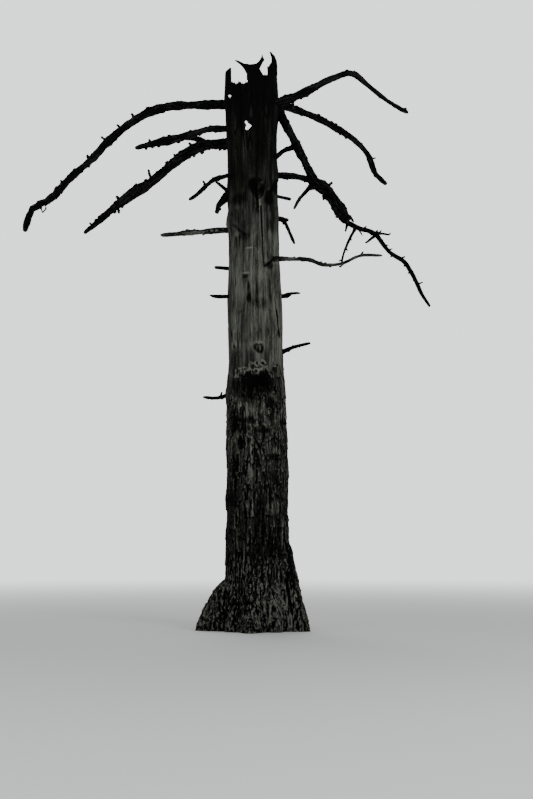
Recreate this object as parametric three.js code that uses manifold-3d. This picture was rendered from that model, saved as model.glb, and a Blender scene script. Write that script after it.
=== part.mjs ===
// Dead conifer: a tall trunk with a hollow, splintered top and a flared foot, long bare boughs that droop
// from near the top, and short pegs below them. Millimetres, +Z up. The origin is the middle of the flat
// cut at ground level. The front is -Y. A bearing is 0 towards +X and 90 towards +Y, the back.

import * as THREE from "three";
import { mergeVertices } from "three/addons/utils/BufferGeometryUtils.js";
import Module from "manifold-3d";

const wasm = await Module();
wasm.setup();
const { clamp, degToRad, lerp } = THREE.MathUtils;

// Trunk
const GAP = 0.3; // clearance between two lengths of one limb
const CLEAR = 0.42; // growth of a piece that others are cut to, which leaves them about 0.4 clear
const TRUNK_TOP = 10600; // height of the shell before its top is broken away
const TRUNK_SIDES = 56;
const FOOT_STEP = 125; // ring spacing at the foot, in the bark, on the bare shaft and at the top
const BARK_STEP = 150;
const SHAFT_STEP = 265;
const TOP_STEP = 125;
const FOOT_TOP = 2000;
const BARK_TOP = 4450;
const SHAFT_TOP = 8400;
const LEAN = -105; // sideways drift of the axis between the two heights below
const LEAN_FROM = 2000;
const LEAN_TO = 9500;
const GIRTHS = [[0, 1060], [2300, 1110], [4100, 1035], [4500, 965], [5700, 975], [6500, 935], [8700, 925],
  [9500, 990], [10100, 955], [TRUNK_TOP, 915]]; // diameter at each height
// Ropes of wood round the trunk, which wind slowly up it: [count, depth, height to wind by one radian, phase]
const ROPES = [[6, 11, 1900, 0.9], [10, 10, -2700, 2.4], [15, 7, 1500, 4.1]];
const ROPE_FADE = 520; // height in which the ropes rise and fade by one radian
const ROPE_EBB = 0.35; // how far they fade
const OVALITY = 11; // how far the section departs from a circle
const OVAL_WIND = 870;

// Old bark on the lower trunk: the girths above thin at its upper edge, which is ragged round the trunk
const BARK_RAGGED = [[2, 230], [4, 170], [10, 90]]; // [waves round the trunk, reach up and down]
const RAGGED_FROM = 3000;
const RAGGED_TO = 5700;
// Patches where the bark has dropped off: [bearing, height, half width, half height]
const SHED_SEEN = [[250, 3560, 165, 240], [281, 3370, 135, 220], [232, 3050, 125, 300], [306, 2740, 135, 330],
  [233, 4080, 125, 200], [276, 2180, 120, 300]];
const SHED_DEPTH = 26;
const SHED_EDGE = 0.3; // share of a patch over which its edge falls
const SHED_UNSEEN = 15; // more patches on the sides and back, set by a seeded rule
const SHED_BEARINGS = [-35, 215];
const SHED_HEIGHTS = [1100, 4000];
const SHED_WIDE = [110, 170];
const SHED_TALL = [190, 340];
const SHED_SEED = 5;
const COLLAR_SHARE = 0.32; // height and spread of the swelling round a limb's root, as shares of its size
const COLLAR_SPREAD = 0.95;
const COLLAR_LEAST = 95;

// Root flare: each root swells out of the foot, [bearing, reach, height, half width in degrees, slope]
const ROOTS = [[338, 500, 2000, 13, 1.3], [188, 560, 850, 17, 0.6], [262, 330, 900, 16, 1.1],
  [302, 210, 650, 13, 0.9], [226, 230, 700, 12, 0.9], [42, 430, 1100, 16, 1.0], [92, 350, 800, 15, 0.8],
  [140, 420, 1300, 15, 1.1]];

// Hollow top: a shell whose wall thins upwards from the hollow's floor
const HOLLOW_FLOOR = 8650;
const HOLLOW_STEP = 240;
const WALL_AT_FLOOR = 160;
const WALL_AT_TOP = 55;

// Broken rim, as seen from the front: [sideways, height]. What lies above the line is gone.
const FRONT_RIM = [[-720, 10060], [-545, 10095], [-482, 10115], [-476, 9820], [-389, 9735], [-334, 9770],
  [-262, 9715], [-166, 9745], [-181, 9875], [-208, 9950], [-272, 10020], [-345, 10075], [-396, 10170],
  [-336, 10135], [-263, 10100], [-136, 10080], [-9, 10105], [51, 10170], [84, 10280], [122, 10185],
  [82, 10130], [37, 10025], [113, 9885], [173, 9905], [198, 10045], [227, 9990], [264, 10135],
  [262, 10230], [224, 10365], [291, 10300], [340, 10225], [372, 10135], [392, 10020], [720, 9960]];
const BACK_RIM = [[-720, 9980], [-450, 10090], [-405, 9880], [-310, 9950], [-285, 9560], [-262, 9110],
  [-60, 9070], [-5, 9330], [60, 9720], [150, 9800], [180, 10050], [255, 9950], [330, 10070], [420, 9880],
  [720, 9930]];
const RIM_SPLIT = 100; // the front rim line cuts the wall up to here, the back one behind it
const CUT_REACH = 900; // half depth of the cuts, more than the trunk's radius
const PEEPHOLE_BACK = -150;
const PEEPHOLE = [[-222, 9020], [-152, 9035], [-124, 8985], [-70, 8992], [-97, 8906], [-119, 8830],
  [-164, 8850], [-177, 8925]]; // small hole through the front wall

// Knot hollows in the bark: [bearing, height, half width, half height, depth]
const KNOT_HOLLOWS = [[282, 7760, 125, 205, 120], [277, 4225, 220, 170, 130], [278, 4880, 90, 80, 45]];
// Broken stubs that stand out of the front: [bearing, height, diameter, length out of the bark]
const FRONT_STUBS = [[288, 7810, 110, 120], [279, 4845, 95, 105]];
const STUB_ROOTED = 250;
const STUB_RISE = 20;
const STUB_TAPER = [1.5, 1.1, 1];
// Arched ridge over the lower knot hollow
const RIDGE = { bearing: 276, height: 4300, halfWidth: 300, rise: 310, thick: [57, 95, 57], sunk: 20 };
const RIDGE_POINTS = 7;
const RIDGE_RINGS = 9;

// Limbs: [length, slope, bearing] for each leg, with diameters spread evenly from root to tip. A limb
// that bends far is divided into nodes at the lengths in splits. A fork starts from another limb.
const WHOLE = [];
const LIMBS = [
  { name: "bough_left_top", height: 9560, thick: [156, 148, 144, 134, 128, 120, 88], splits: [1260, 3440],
    parts: ["root", "middle", "tip"], legs: [[380, 4, 168], [880, 1, 168], [470, -24, 178],
      [610, -38, 178], [550, -48, 178], [550, -42, 178], [590, -51, 192], [335, -30, 192],
      [470, -73, 192]] },
  { name: "bough_left_second", height: 8960, thick: [108, 106, 116, 136, 50], splits: WHOLE,
    legs: [[420, -12, 206], [610, -25, 206], [535, -21, 206], [330, -23, 206]] },
  { name: "bough_left_main", height: 8835, thick: [185, 186, 172, 165, 192, 128, 55], splits: [1015],
    parts: ["root", "tip"], legs: [[570, 2, 158], [445, -19, 158], [860, -33, 158], [230, -13, 150],
      [445, -24, 150], [525, -29, 150], [420, -36, 166]] },
  { name: "fork_left_main", from: "bough_left_main", at: 430, thick: [115, 106, 80], splits: WHOLE,
    legs: [[270, 34, 158], [380, 14, 158]] },
  { name: "branch_left_thin", height: 8065, thick: [78, 72, 66, 45], splits: WHOLE,
    legs: [[400, -24, 218], [210, -39, 218], [400, -45, 218], [135, -35, 218]] },
  { name: "twig_left_upturned", height: 7870, thick: [62, 54, 40], splits: WHOLE, legs: [[455, 42, 150]] },
  { name: "stub_left_drooping", height: 7750, thick: [160, 118, 66], splits: WHOLE,
    legs: [[315, -53, 192], [105, -80, 192]] },
  { name: "branch_left_grey", height: 7065, thick: [98, 95, 90, 36], splits: WHOLE,
    legs: [[830, -11, 204], [330, -12, 204], [155, -10, 204]] },
  { name: "peg_left_upper", height: 6430, thick: [58, 48, 34], splits: WHOLE, legs: [[270, 9, 165]] },
  { name: "peg_left_middle", height: 5845, thick: [66, 48, 22], splits: WHOLE, legs: [[345, 0, 198]] },
  { name: "peg_left_lower", height: 4090, thick: [110, 56, 26], splits: WHOLE,
    legs: [[195, -14, 176], [225, 5, 176]] },
  { name: "bough_right_top", height: 9440, thick: [146, 138, 126, 102, 80, 64, 46], splits: [1520],
    parts: ["root", "tip"], legs: [[330, 4, 332], [385, 14, 332], [510, 14, 332], [295, 8, 345],
      [355, -34, 12], [425, -36, 12], [320, -28, 12], [115, -21, 12]] },
  { name: "bough_right_second", height: 9640, thick: [138, 128, 122, 112, 92, 68], splits: [1925],
    parts: ["root", "tip"], legs: [[700, -2, 32], [655, -11, 32], [570, -19, 32], [430, -37, 32],
      [315, -74, 14], [335, -42, 14]] },
  { name: "bough_right_drooping", height: 9410, thick: [176, 142, 150, 160, 200, 200, 130],
    splits: [1490], parts: ["root", "tip"], legs: [[260, -65, 2], [440, -63, 2], [260, -68, 2],
      [530, -64, 2], [200, -46, 338], [240, -43, 338], [455, -60, 338], [210, -58, 338]] },
  { name: "bough_right_level", height: 8160, meets: "bough_right_drooping", thick: [108, 108, 108],
    splits: WHOLE, legs: [[270, -3, 2], [235, -12, 2], [165, -21, 2]] },
  { name: "branch_right_inner", from: "bough_right_drooping", at: 1500, meets: "bough_right_level",
    thick: [74, 62, 46, 26], splits: WHOLE, legs: [[335, -51, 222], [215, -45, 222], [260, -58, 222]] },
  { name: "stub_right_upper", height: 8370, thick: [94, 88, 84, 70], splits: WHOLE,
    legs: [[240, 31, 328], [150, 5, 328], [175, 22, 328]] },
  { name: "peg_right_upper", height: 7810, thick: [58, 48, 42], splits: WHOLE, legs: [[265, -6, 20]] },
  { name: "branch_right_hanging", height: 7285, thick: [78, 60, 50, 34], splits: WHOLE,
    legs: [[140, -28, 340], [220, -64, 340], [255, -68, 340]] },
  { name: "peg_right_blunt", height: 7365, thick: [76, 66, 56], splits: WHOLE, legs: [[175, -9, 10]] },
  { name: "branch_right_grey", height: 6495, thick: [92, 76, 66, 56, 40, 32, 22], splits: WHOLE,
    legs: [[880, -12, 318], [300, -26, 318], [420, -7, 318], [370, 10, 318], [460, -10, 318]] },
  { name: "peg_right_middle", height: 5920, thick: [86, 46, 24], splits: WHOLE,
    legs: [[295, 21, 30], [215, 10, 30]] },
  { name: "peg_right_lower", height: 4850, thick: [108, 62, 24], splits: WHOLE,
    legs: [[245, 21, 350], [280, 12, 350]] },
  { name: "bough_back_top", height: 9090, thick: [142, 128, 120, 96, 52], splits: [1180],
    parts: ["root", "tip"], legs: [[620, 6, 86], [560, -14, 86], [520, -34, 92], [480, -50, 92]] },
  { name: "bough_back_second", height: 7720, thick: [116, 100, 92, 44], splits: WHOLE,
    legs: [[520, -4, 100], [560, -20, 100], [430, -42, 94]] },
  { name: "branch_back_grey", height: 6350, thick: [82, 70, 54, 24], splits: WHOLE,
    legs: [[500, 8, 78], [420, -12, 84], [300, -6, 84]] },
  { name: "peg_back_upper", height: 8340, thick: [74, 52, 28], splits: WHOLE, legs: [[270, 18, 118]] },
  { name: "peg_back_middle", height: 5360, thick: [70, 50, 24], splits: WHOLE, legs: [[310, 12, 66]] },
  { name: "peg_back_lower", height: 4540, thick: [80, 52, 24], splits: WHOLE, legs: [[290, -8, 108]] },
];
const LIMB_SIDES = 8;
const LIMB_STEP = 1.15; // ring spacing, in diameters
const SHORTEST_STEP = 90;
const BURIED = 170; // how far a limb's centre line starts inside the trunk before it is cut to fit
const KNOT_SWELL = 0.08; // how much a limb swells and narrows along its length, in two waves
const LONG_KNOT = 190;
const SHORT_KNOT = 77;
const FLAT_SIDES = 0.07; // how much its section departs from a circle
const TIP_NARROW = 0.72; // last ring of a limb, as a share of its size, and the point beyond it
const TIP_POINT = 0.5;

// Twig mass at the end of the drooping bough: a crooked stem with side twigs set by a seeded rule
const SPRAY = {
  name: "spray_right", from: "bough_right_drooping", thick: [88, 70, 76, 60, 68, 64, 58, 34], splits: WHOLE,
  legs: [[305, -31, 322], [185, -22, 322], [200, -35, 322], [195, -56, 340], [210, -53, 340],
    [320, -38, 340], [155, -55, 8], [220, -62, 8], [255, -66, 8], [260, -57, 8]],
};
const HANGING_TWIG = { at: 205, length: 780, thick: 34, bearing: 190, slope: -56 };
const FIRST_TWIG = 200; // the side twigs lie between here and just short of the stem's tip
const LAST_TWIG = 120;
const TWIG_SPACING = [150, 230];
const TWIG_LENGTH = [70, 230];
const TWIG_SHORTENED = 0.6; // share of its length that a twig near the tip keeps
const TWIG_ASIDE = [50, 90]; // angle away from the stem
const TWIG_SLOPE = [-35, 25];
const TWIG_DROOP = 6; // degrees lost at each step
const TWIG_CROOK = 15;
const TWIG_TAPER = [1, 0.75, 0.4];
const TWIG_THICK = 24;
const TWIG_SIDES = 4;
const TWIG_STEPS = 4;
const TWIG_SEED = 11;

// Finishes
const finish = (color, roughness) => new THREE.MeshStandardMaterial({ color, roughness, metalness: 0 });
const TRUNK_WOOD = finish("#4a4944", 0.92);
const DARK_BARK = finish("#171715", 0.95);
const GREY_WOOD = finish("#55544e", 0.9);

// Value at a place in a table of [place, value] pairs
function tableValue(table, place) {
  const next = clamp(table.findIndex(([edge]) => edge >= place), 1, table.length - 1);
  const [[from, low], [to, high]] = [table[next - 1], table[next]];
  return lerp(low, high, clamp((place - from) / (to - from), 0, 1));
}

// Value a fraction of the way along an evenly spaced list
function listValue(list, fraction) {
  const place = clamp(fraction, 0, 1) * (list.length - 1);
  const step = Math.min(Math.floor(place), list.length - 2);
  return lerp(list[step], list[step + 1], place - step);
}

// Heights from one level up to another, in even steps
function levels(from, to, step) {
  const count = Math.ceil((to - from) / step);
  return Array.from({ length: count }, (_, index) => lerp(from, to, index / count));
}

// Repeatable random numbers between 0 and 1
function seededRandom(seed) {
  let state = seed;
  return () => {
    state = (state * 1664525 + 1013904223) % 4294967296;
    return state / 4294967296;
  };
}

// A unit direction from a slope above the horizontal and a bearing
function direction(slope, bearing) {
  const flat = Math.cos(degToRad(slope));
  const turn = degToRad(bearing);
  return new THREE.Vector3(flat * Math.cos(turn), flat * Math.sin(turn), Math.sin(degToRad(slope)));
}

// A closed three.js geometry as a solid, with shared corners merged and empty faces dropped
function solidOf(geometry) {
  geometry.deleteAttribute("normal");
  geometry.deleteAttribute("uv");
  const merged = mergeVertices(geometry, 1e-3);
  const corners = merged.index.array;
  const faces = [];
  for (let first = 0; first < corners.length; first += 3) {
    const [a, b, c] = corners.slice(first, first + 3);
    if (a !== b && b !== c && c !== a) faces.push(a, b, c);
  }
  const vertProperties = Float32Array.from(merged.attributes.position.array);
  return new wasm.Manifold(new wasm.Mesh({ numProp: 3, vertProperties, triVerts: Uint32Array.from(faces) }));
}

// A closed skin of rings between two end points: a turned form whose corners are then placed one by one
function skin(rings, sides, place) {
  const profile = Array.from({ length: rings + 2 }, (_, ring) => new THREE.Vector2(1, ring));
  const geometry = new THREE.LatheGeometry(profile, sides);
  const corners = geometry.attributes.position;
  for (let side = 0; side <= sides; side++) {
    for (let ring = 0; ring < rings + 2; ring++) {
      const spot = place(ring, (side % sides) / sides);
      corners.setXYZ(side * (rings + 2) + ring, spot.x, spot.y, spot.z);
    }
  }
  return solidOf(geometry);
}

// The largest body of a solid, without the loose scraps that a cut can leave
function largestBody(solid) {
  const bodies = solid.decompose();
  return bodies.reduce((best, body) => (body.volume() > best.volume() ? body : best));
}

// A value between two ends, from the next random number
const spread = (random, [low, high]) => lerp(low, high, random());

// Trunk forms
const shedRandom = seededRandom(SHED_SEED);
const shedPatches = [...SHED_SEEN, ...Array.from({ length: SHED_UNSEEN }, () =>
  [SHED_BEARINGS, SHED_HEIGHTS, SHED_WIDE, SHED_TALL].map((ends) => spread(shedRandom, ends)))];

const trunkAxis = (height) => new THREE.Vector3(
  LEAN * clamp((height - LEAN_FROM) / (LEAN_TO - LEAN_FROM), 0, 1), 0, height);

const bearingBetween = (a, b) => Math.abs(((a - b + 900) % 360) - 180);

function rootSwell(bearing, height) {
  let swell = 0;
  for (const [rootBearing, reach, top, halfWidth, slope] of ROOTS) {
    const rise = clamp(1 - height / top, 0, 1);
    const aside = bearingBetween(bearing, rootBearing) / halfWidth;
    swell += reach * Math.pow(rise, slope) * Math.exp(-aside * aside);
  }
  return swell;
}

// The trunk swells into a collar round the root of each limb
function collarSwell(bearing, height) {
  let swell = 0;
  for (const limb of LIMBS.filter((each) => each.height !== undefined)) {
    const wide = Math.max(limb.thick[0] * COLLAR_SPREAD, COLLAR_LEAST);
    const up = (height - limb.height) / wide;
    const arc = degToRad(bearingBetween(bearing, limb.legs[0][2])) * (tableValue(GIRTHS, height) / 2);
    const aside = arc / wide;
    swell = Math.max(swell, limb.thick[0] * COLLAR_SHARE * Math.exp(-up * up - aside * aside));
  }
  return swell;
}

function ropeSwell(turn, height) {
  let swell = 0;
  for (const [count, depth, wind, phase] of ROPES) {
    const fade = 1 - ROPE_EBB + ROPE_EBB * Math.sin(height / ROPE_FADE + phase);
    swell += depth * fade * Math.sin(count * turn + height / wind + phase);
  }
  return swell;
}

// The girth, read a little higher or lower round the trunk where the bark's edge is ragged
function raggedGirth(turn, height) {
  const near = clamp((height - RAGGED_FROM) / (BARK_TOP - RAGGED_FROM), 0, 1)
    * clamp((RAGGED_TO - height) / (RAGGED_TO - BARK_TOP), 0, 1);
  const shift = BARK_RAGGED.reduce((sum, [waves, reach]) => sum + reach * Math.sin(waves * turn), 0);
  return tableValue(GIRTHS, height + near * shift);
}

function shedDepth(bearing, height) {
  let depth = 0;
  for (const [patchBearing, patchHeight, halfWidth, halfHeight] of shedPatches) {
    const arc = degToRad(bearingBetween(bearing, patchBearing)) * (tableValue(GIRTHS, height) / 2);
    const far = Math.hypot(arc / halfWidth, (height - patchHeight) / halfHeight);
    depth = Math.max(depth, SHED_DEPTH * clamp((1 + SHED_EDGE / 2 - far) / SHED_EDGE, 0, 1));
  }
  return depth;
}

function trunkRadius(bearing, height) {
  const turn = degToRad(bearing);
  const wind = height / OVAL_WIND;
  const oval = OVALITY * (Math.sin(3 * turn + wind / 3) + 0.6 * Math.cos(2 * turn + wind));
  const bark = raggedGirth(turn, height) / 2 - shedDepth(bearing, height);
  return bark + ropeSwell(turn, height) + oval + rootSwell(bearing, height) + collarSwell(bearing, height);
}

function trunkSpot(bearing, height, inward) {
  const out = direction(0, bearing).multiplyScalar(trunkRadius(bearing, height) - inward);
  return trunkAxis(height).add(out);
}

// The trunk as a turned form, solid or with its hollow top, its surface moved inward by an amount
function trunkForm(inward, hollow) {
  const outside = [...levels(0, FOOT_TOP, FOOT_STEP), ...levels(FOOT_TOP, BARK_TOP, BARK_STEP),
    ...levels(BARK_TOP, SHAFT_TOP, SHAFT_STEP), ...levels(SHAFT_TOP, TRUNK_TOP, TOP_STEP), TRUNK_TOP]
    .map((height) => [height, inward]);
  const wall = (height) => lerp(WALL_AT_FLOOR, WALL_AT_TOP,
    (height - HOLLOW_FLOOR) / (TRUNK_TOP - HOLLOW_FLOOR));
  const inside = [...levels(HOLLOW_FLOOR, TRUNK_TOP, HOLLOW_STEP), TRUNK_TOP].reverse()
    .map((height) => [height, wall(height)]);
  const rings = hollow ? [...outside, ...inside] : outside;
  const end = hollow ? HOLLOW_FLOOR : TRUNK_TOP;
  return skin(rings.length, TRUNK_SIDES, (ring, turn) => {
    if (ring === 0) return trunkAxis(0);
    if (ring > rings.length) return trunkAxis(end);
    const [height, depth] = rings[ring - 1];
    return trunkSpot(360 * turn, height, depth);
  });
}

// A prism from an outline of [sideways, height] points, between two distances back
function prism(outline, near, far) {
  const shape = new THREE.Shape(outline.map(([x, z]) => new THREE.Vector2(x, z)));
  const geometry = new THREE.ExtrudeGeometry(shape, { depth: far - near, bevelEnabled: false });
  geometry.rotateX(Math.PI / 2);
  geometry.translate(0, far, 0);
  return solidOf(geometry);
}

const aboveRim = (rim) => [...rim, [rim.at(-1)[0], TRUNK_TOP + 100], [rim[0][0], TRUNK_TOP + 100]];

function knotHollow([bearing, height, halfWidth, halfHeight, depth]) {
  const ball = new THREE.SphereGeometry(1, 14, 9);
  ball.scale(depth, halfWidth, halfHeight);
  ball.rotateZ(degToRad(bearing));
  ball.translate(...trunkSpot(bearing, height, 0));
  return solidOf(ball);
}

// Limb forms
const limbCurves = new Map();

function legPoints(start, legs) {
  const points = [start];
  for (const [length, slope, bearing] of legs) {
    points.push(points.at(-1).clone().addScaledVector(direction(slope, bearing), length));
  }
  return points;
}

// The centre line: from inside the trunk, or from a place on another limb, then leg by leg to the tip
function limbCurve(limb) {
  let lead = 0;
  let points;
  if (limb.from) {
    const parent = limbCurves.get(limb.from);
    const reach = limb.at === undefined ? 1 : (limb.at + parent.lead) / parent.curve.getLength();
    points = legPoints(parent.curve.getPointAt(reach), limb.legs);
  } else {
    const [, slope, bearing] = limb.legs[0];
    const bark = trunkAxis(limb.height)
      .addScaledVector(direction(0, bearing), tableValue(GIRTHS, limb.height) / 2);
    lead = BURIED;
    const inside = bark.clone().addScaledVector(direction(slope, bearing), -BURIED);
    points = [inside, ...legPoints(bark, limb.legs)];
  }
  const curve = new THREE.CatmullRomCurve3(points, false, "centripetal");
  curve.arcLengthDivisions = 400;
  limbCurves.set(limb.name, { curve, lead });
  return curve;
}

// A tapering, knobbly tube along a curve. The cuts are ring numbers that it starts and ends at.
function limbForm(curve, thick, sides, rings, [first, last], phase, grow) {
  const frames = curve.computeFrenetFrames(rings, false);
  const length = curve.getLength();
  const centre = (ring) => curve.getPointAt(ring / rings);
  return skin(last - first + 1, sides, (index, turn) => {
    const ring = clamp(first + index - 1, first, last);
    const tangent = frames.tangents[ring];
    const end = ring === rings ? TIP_NARROW : 1;
    const reach = (ring * length) / rings;
    const waves = Math.sin(reach / LONG_KNOT + phase) + Math.sin(reach / SHORT_KNOT + 2 * phase);
    const knots = 1 + KNOT_SWELL * waves;
    const mean = (end * knots * listValue(thick, ring / rings)) / 2 + grow;
    const spot = centre(ring).addScaledVector(tangent, faceShift(ring, first, last, rings, grow));
    if (index === 0) return spot;
    if (index > last - first + 1) return spot.addScaledVector(tangent, ring === rings ? mean * TIP_POINT : 0);
    const radius = mean * (1 + FLAT_SIDES * Math.sin(6 * Math.PI * turn + ring + phase));
    const around = 2 * Math.PI * turn;
    return spot.addScaledVector(frames.normals[ring], radius * Math.cos(around))
      .addScaledVector(frames.binormals[ring], radius * Math.sin(around));
  });
}

// Two lengths of one limb stand half a gap back from the face between them
function faceShift(ring, first, last, rings, grow) {
  if (ring === first && first > 0) return GAP / 2 - grow;
  if (ring === last) return last < rings ? grow - GAP / 2 : grow;
  return 0;
}

function ringCount(curve, thick) {
  const mean = thick.reduce((sum, each) => sum + each, 0) / thick.length;
  return Math.max(4, Math.round(curve.getLength() / Math.max(mean * LIMB_STEP, SHORTEST_STEP)));
}

// Broken stub on the front, fused with the trunk
function frontStub([bearing, height, thick, length], index) {
  const root = trunkSpot(bearing, height, STUB_ROOTED);
  const tip = trunkSpot(bearing, height + STUB_RISE, -length);
  const curve = new THREE.CatmullRomCurve3([root, root.clone().lerp(tip, 0.5), tip]);
  const rings = STUB_TAPER.length + 2;
  return limbForm(curve, STUB_TAPER.map((share) => share * thick), LIMB_SIDES, rings, [0, rings], index, 0);
}

// Arch of wood over the lower knot hollow, half sunk in the trunk
function ridgeForm() {
  const halfTurn = (RIDGE.halfWidth * 360) / (Math.PI * tableValue(GIRTHS, RIDGE.height));
  const arch = Array.from({ length: RIDGE_POINTS }, (_, step) => {
    const swing = lerp(-1, 1, step / (RIDGE_POINTS - 1));
    const height = RIDGE.height + RIDGE.rise * (1 - swing * swing);
    return trunkSpot(RIDGE.bearing + swing * halfTurn, height, RIDGE.sunk);
  });
  const curve = new THREE.CatmullRomCurve3(arch);
  return limbForm(curve, RIDGE.thick, LIMB_SIDES, RIDGE_RINGS, [0, RIDGE_RINGS], 0, 0);
}

// Trunk: the hollow shell, with its rim broken away, the knot hollows cut and the stubs fused on
const trunkSkin = trunkForm(-CLEAR, false);
let trunkSolid = trunkForm(0, true)
  .subtract(prism(aboveRim(FRONT_RIM), -CUT_REACH, RIM_SPLIT))
  .subtract(prism(aboveRim(BACK_RIM), RIM_SPLIT, CUT_REACH))
  .subtract(prism(PEEPHOLE, -CUT_REACH, PEEPHOLE_BACK));
for (const hollow of KNOT_HOLLOWS) trunkSolid = trunkSolid.subtract(knotHollow(hollow));
for (const [index, stub] of FRONT_STUBS.entries()) trunkSolid = trunkSolid.add(frontStub(stub, index));
trunkSolid = largestBody(trunkSolid.add(ridgeForm()));

// Boughs, branches, stubs and pegs
const wholeSolids = new Map();
const pieces = [{ name: "trunk", solid: trunkSolid, seat: new THREE.Vector3(), material: TRUNK_WOOD }];
LIMBS.forEach((limb, index) => {
  const curve = limbCurve(limb);
  const rings = ringCount(curve, limb.thick);
  const length = curve.getLength();
  const form = (span, grow) => limbForm(curve, limb.thick, LIMB_SIDES, rings, span, index, grow);
  wholeSolids.set(limb.name, form([0, rings], CLEAR));
  const lead = limb.from ? 0 : BURIED;
  const cuts = limb.splits.map((split) => Math.round(((split + lead) / length) * rings));
  const ends = [0, ...cuts, rings];
  ends.slice(1).forEach((last, part) => {
    let solid = form([ends[part], last], 0);
    if (part === 0) solid = solid.subtract(limb.from ? wholeSolids.get(limb.from) : trunkSkin);
    if (limb.meets) solid = solid.subtract(wholeSolids.get(limb.meets));
    const name = limb.parts ? `${limb.name}_${limb.parts[part]}` : limb.name;
    const material = limb.name.endsWith("grey") ? GREY_WOOD : DARK_BARK;
    pieces.push({ name, solid: largestBody(solid), seat: curve.getPointAt(ends[part] / rings), material });
  });
});

// Twig mass: side twigs leave the stem on alternate sides, droop a little and shorten towards the tip
const twigRandom = seededRandom(TWIG_SEED);
const between = (ends) => spread(twigRandom, ends);

function twigForm(start, slope, bearing, length, thick) {
  const points = [start];
  for (let step = 0; step < TWIG_STEPS; step++) {
    const crook = between([-TWIG_CROOK, TWIG_CROOK]);
    const way = direction(slope - TWIG_DROOP * step + crook / 2, bearing + crook);
    points.push(points.at(-1).clone().addScaledVector(way, length / TWIG_STEPS));
  }
  const curve = new THREE.CatmullRomCurve3(points, false, "centripetal");
  const taper = TWIG_TAPER.map((share) => share * thick);
  return limbForm(curve, taper, TWIG_SIDES, TWIG_STEPS, [0, TWIG_STEPS], 0, 0);
}

const stem = limbCurve(SPRAY);
const stemLength = stem.getLength();
const stemRings = ringCount(stem, SPRAY.thick);
let spraySolid = limbForm(stem, SPRAY.thick, LIMB_SIDES - 1, stemRings, [0, stemRings], 0, 0);
const hangingStart = stem.getPointAt(HANGING_TWIG.at / stemLength);
spraySolid = spraySolid.add(twigForm(hangingStart, HANGING_TWIG.slope, HANGING_TWIG.bearing,
  HANGING_TWIG.length, HANGING_TWIG.thick));
let side = 1;
for (let reach = FIRST_TWIG; reach < stemLength - LAST_TWIG; reach += between(TWIG_SPACING)) {
  const onStem = reach / stemLength;
  const leg = SPRAY.legs[Math.floor(onStem * SPRAY.legs.length)];
  const bearing = leg[2] + side * between(TWIG_ASIDE);
  const length = between(TWIG_LENGTH) * lerp(1, TWIG_SHORTENED, onStem);
  const twig = twigForm(stem.getPointAt(onStem), between(TWIG_SLOPE), bearing, length, TWIG_THICK);
  spraySolid = spraySolid.add(twig);
  side = -side;
}
spraySolid = spraySolid.subtract(wholeSolids.get(SPRAY.from));
pieces.push({ name: SPRAY.name, solid: largestBody(spraySolid), seat: stem.getPointAt(0),
  material: DARK_BARK });

// One named mesh for each piece, placed at its seat
function meshOf({ name, solid, seat, material }) {
  const { vertProperties, triVerts } = solid.getMesh();
  const geometry = new THREE.BufferGeometry();
  geometry.setAttribute("position", new THREE.BufferAttribute(Float32Array.from(vertProperties), 3));
  geometry.setIndex(new THREE.BufferAttribute(Uint32Array.from(triVerts), 1));
  geometry.translate(-seat.x, -seat.y, -seat.z);
  geometry.computeVertexNormals();
  const mesh = new THREE.Mesh(geometry, material);
  mesh.name = name;
  mesh.position.copy(seat);
  return mesh;
}

const tree = new THREE.Group();
tree.add(...pieces.map(meshOf));

export default tree;
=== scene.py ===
# %% [markdown]
# # A dead tree, from plain solids to weathered wood
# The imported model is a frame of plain, faceted solids: a hollow trunk, its boughs, branches, pegs and
# stubs, and one mass of bare twigs. This lesson leaves each where it is and gives it the skin of the real
# thing: bark in torn slabs, long cracks, broken ends and fine twigs. The frame comes first, since every
# size and place below is worked out from it.

# %% Load the frame
import math
import random

import bpy
import numpy as np
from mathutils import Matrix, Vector
from mathutils.bvhtree import BVHTree


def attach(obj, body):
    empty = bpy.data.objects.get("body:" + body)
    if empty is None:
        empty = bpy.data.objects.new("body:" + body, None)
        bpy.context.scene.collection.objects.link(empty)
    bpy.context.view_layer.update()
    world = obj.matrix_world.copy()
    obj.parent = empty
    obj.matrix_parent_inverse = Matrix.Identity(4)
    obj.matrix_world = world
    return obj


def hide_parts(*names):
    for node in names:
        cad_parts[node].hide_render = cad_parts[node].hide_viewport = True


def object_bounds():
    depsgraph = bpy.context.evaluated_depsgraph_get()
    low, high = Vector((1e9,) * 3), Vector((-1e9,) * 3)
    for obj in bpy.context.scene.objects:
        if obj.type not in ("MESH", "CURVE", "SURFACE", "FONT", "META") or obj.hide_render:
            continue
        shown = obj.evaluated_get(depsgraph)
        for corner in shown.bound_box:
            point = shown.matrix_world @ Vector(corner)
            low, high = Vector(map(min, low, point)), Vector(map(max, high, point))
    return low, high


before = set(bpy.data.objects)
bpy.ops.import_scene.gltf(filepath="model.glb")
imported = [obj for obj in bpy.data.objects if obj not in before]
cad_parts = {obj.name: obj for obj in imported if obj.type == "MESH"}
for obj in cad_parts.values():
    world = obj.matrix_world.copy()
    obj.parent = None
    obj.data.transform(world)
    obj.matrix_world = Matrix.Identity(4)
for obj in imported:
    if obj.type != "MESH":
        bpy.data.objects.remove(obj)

cad_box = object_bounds()
print("nodes:", len(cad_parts), "height:", round(cad_box[1].z, 3))

# %% [markdown]
# ## The view
# The photograph looks up a little at the tree from about nineteen metres away, at eye height. A camera
# with the same lens at the same place gives the same outline. Two small helpers go between the scene and
# the photograph: one says which point lies behind a pixel at a given distance, the other where on the
# trunk a pixel falls, so that a mark seen in the photograph can be put on the wood itself.

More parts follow.
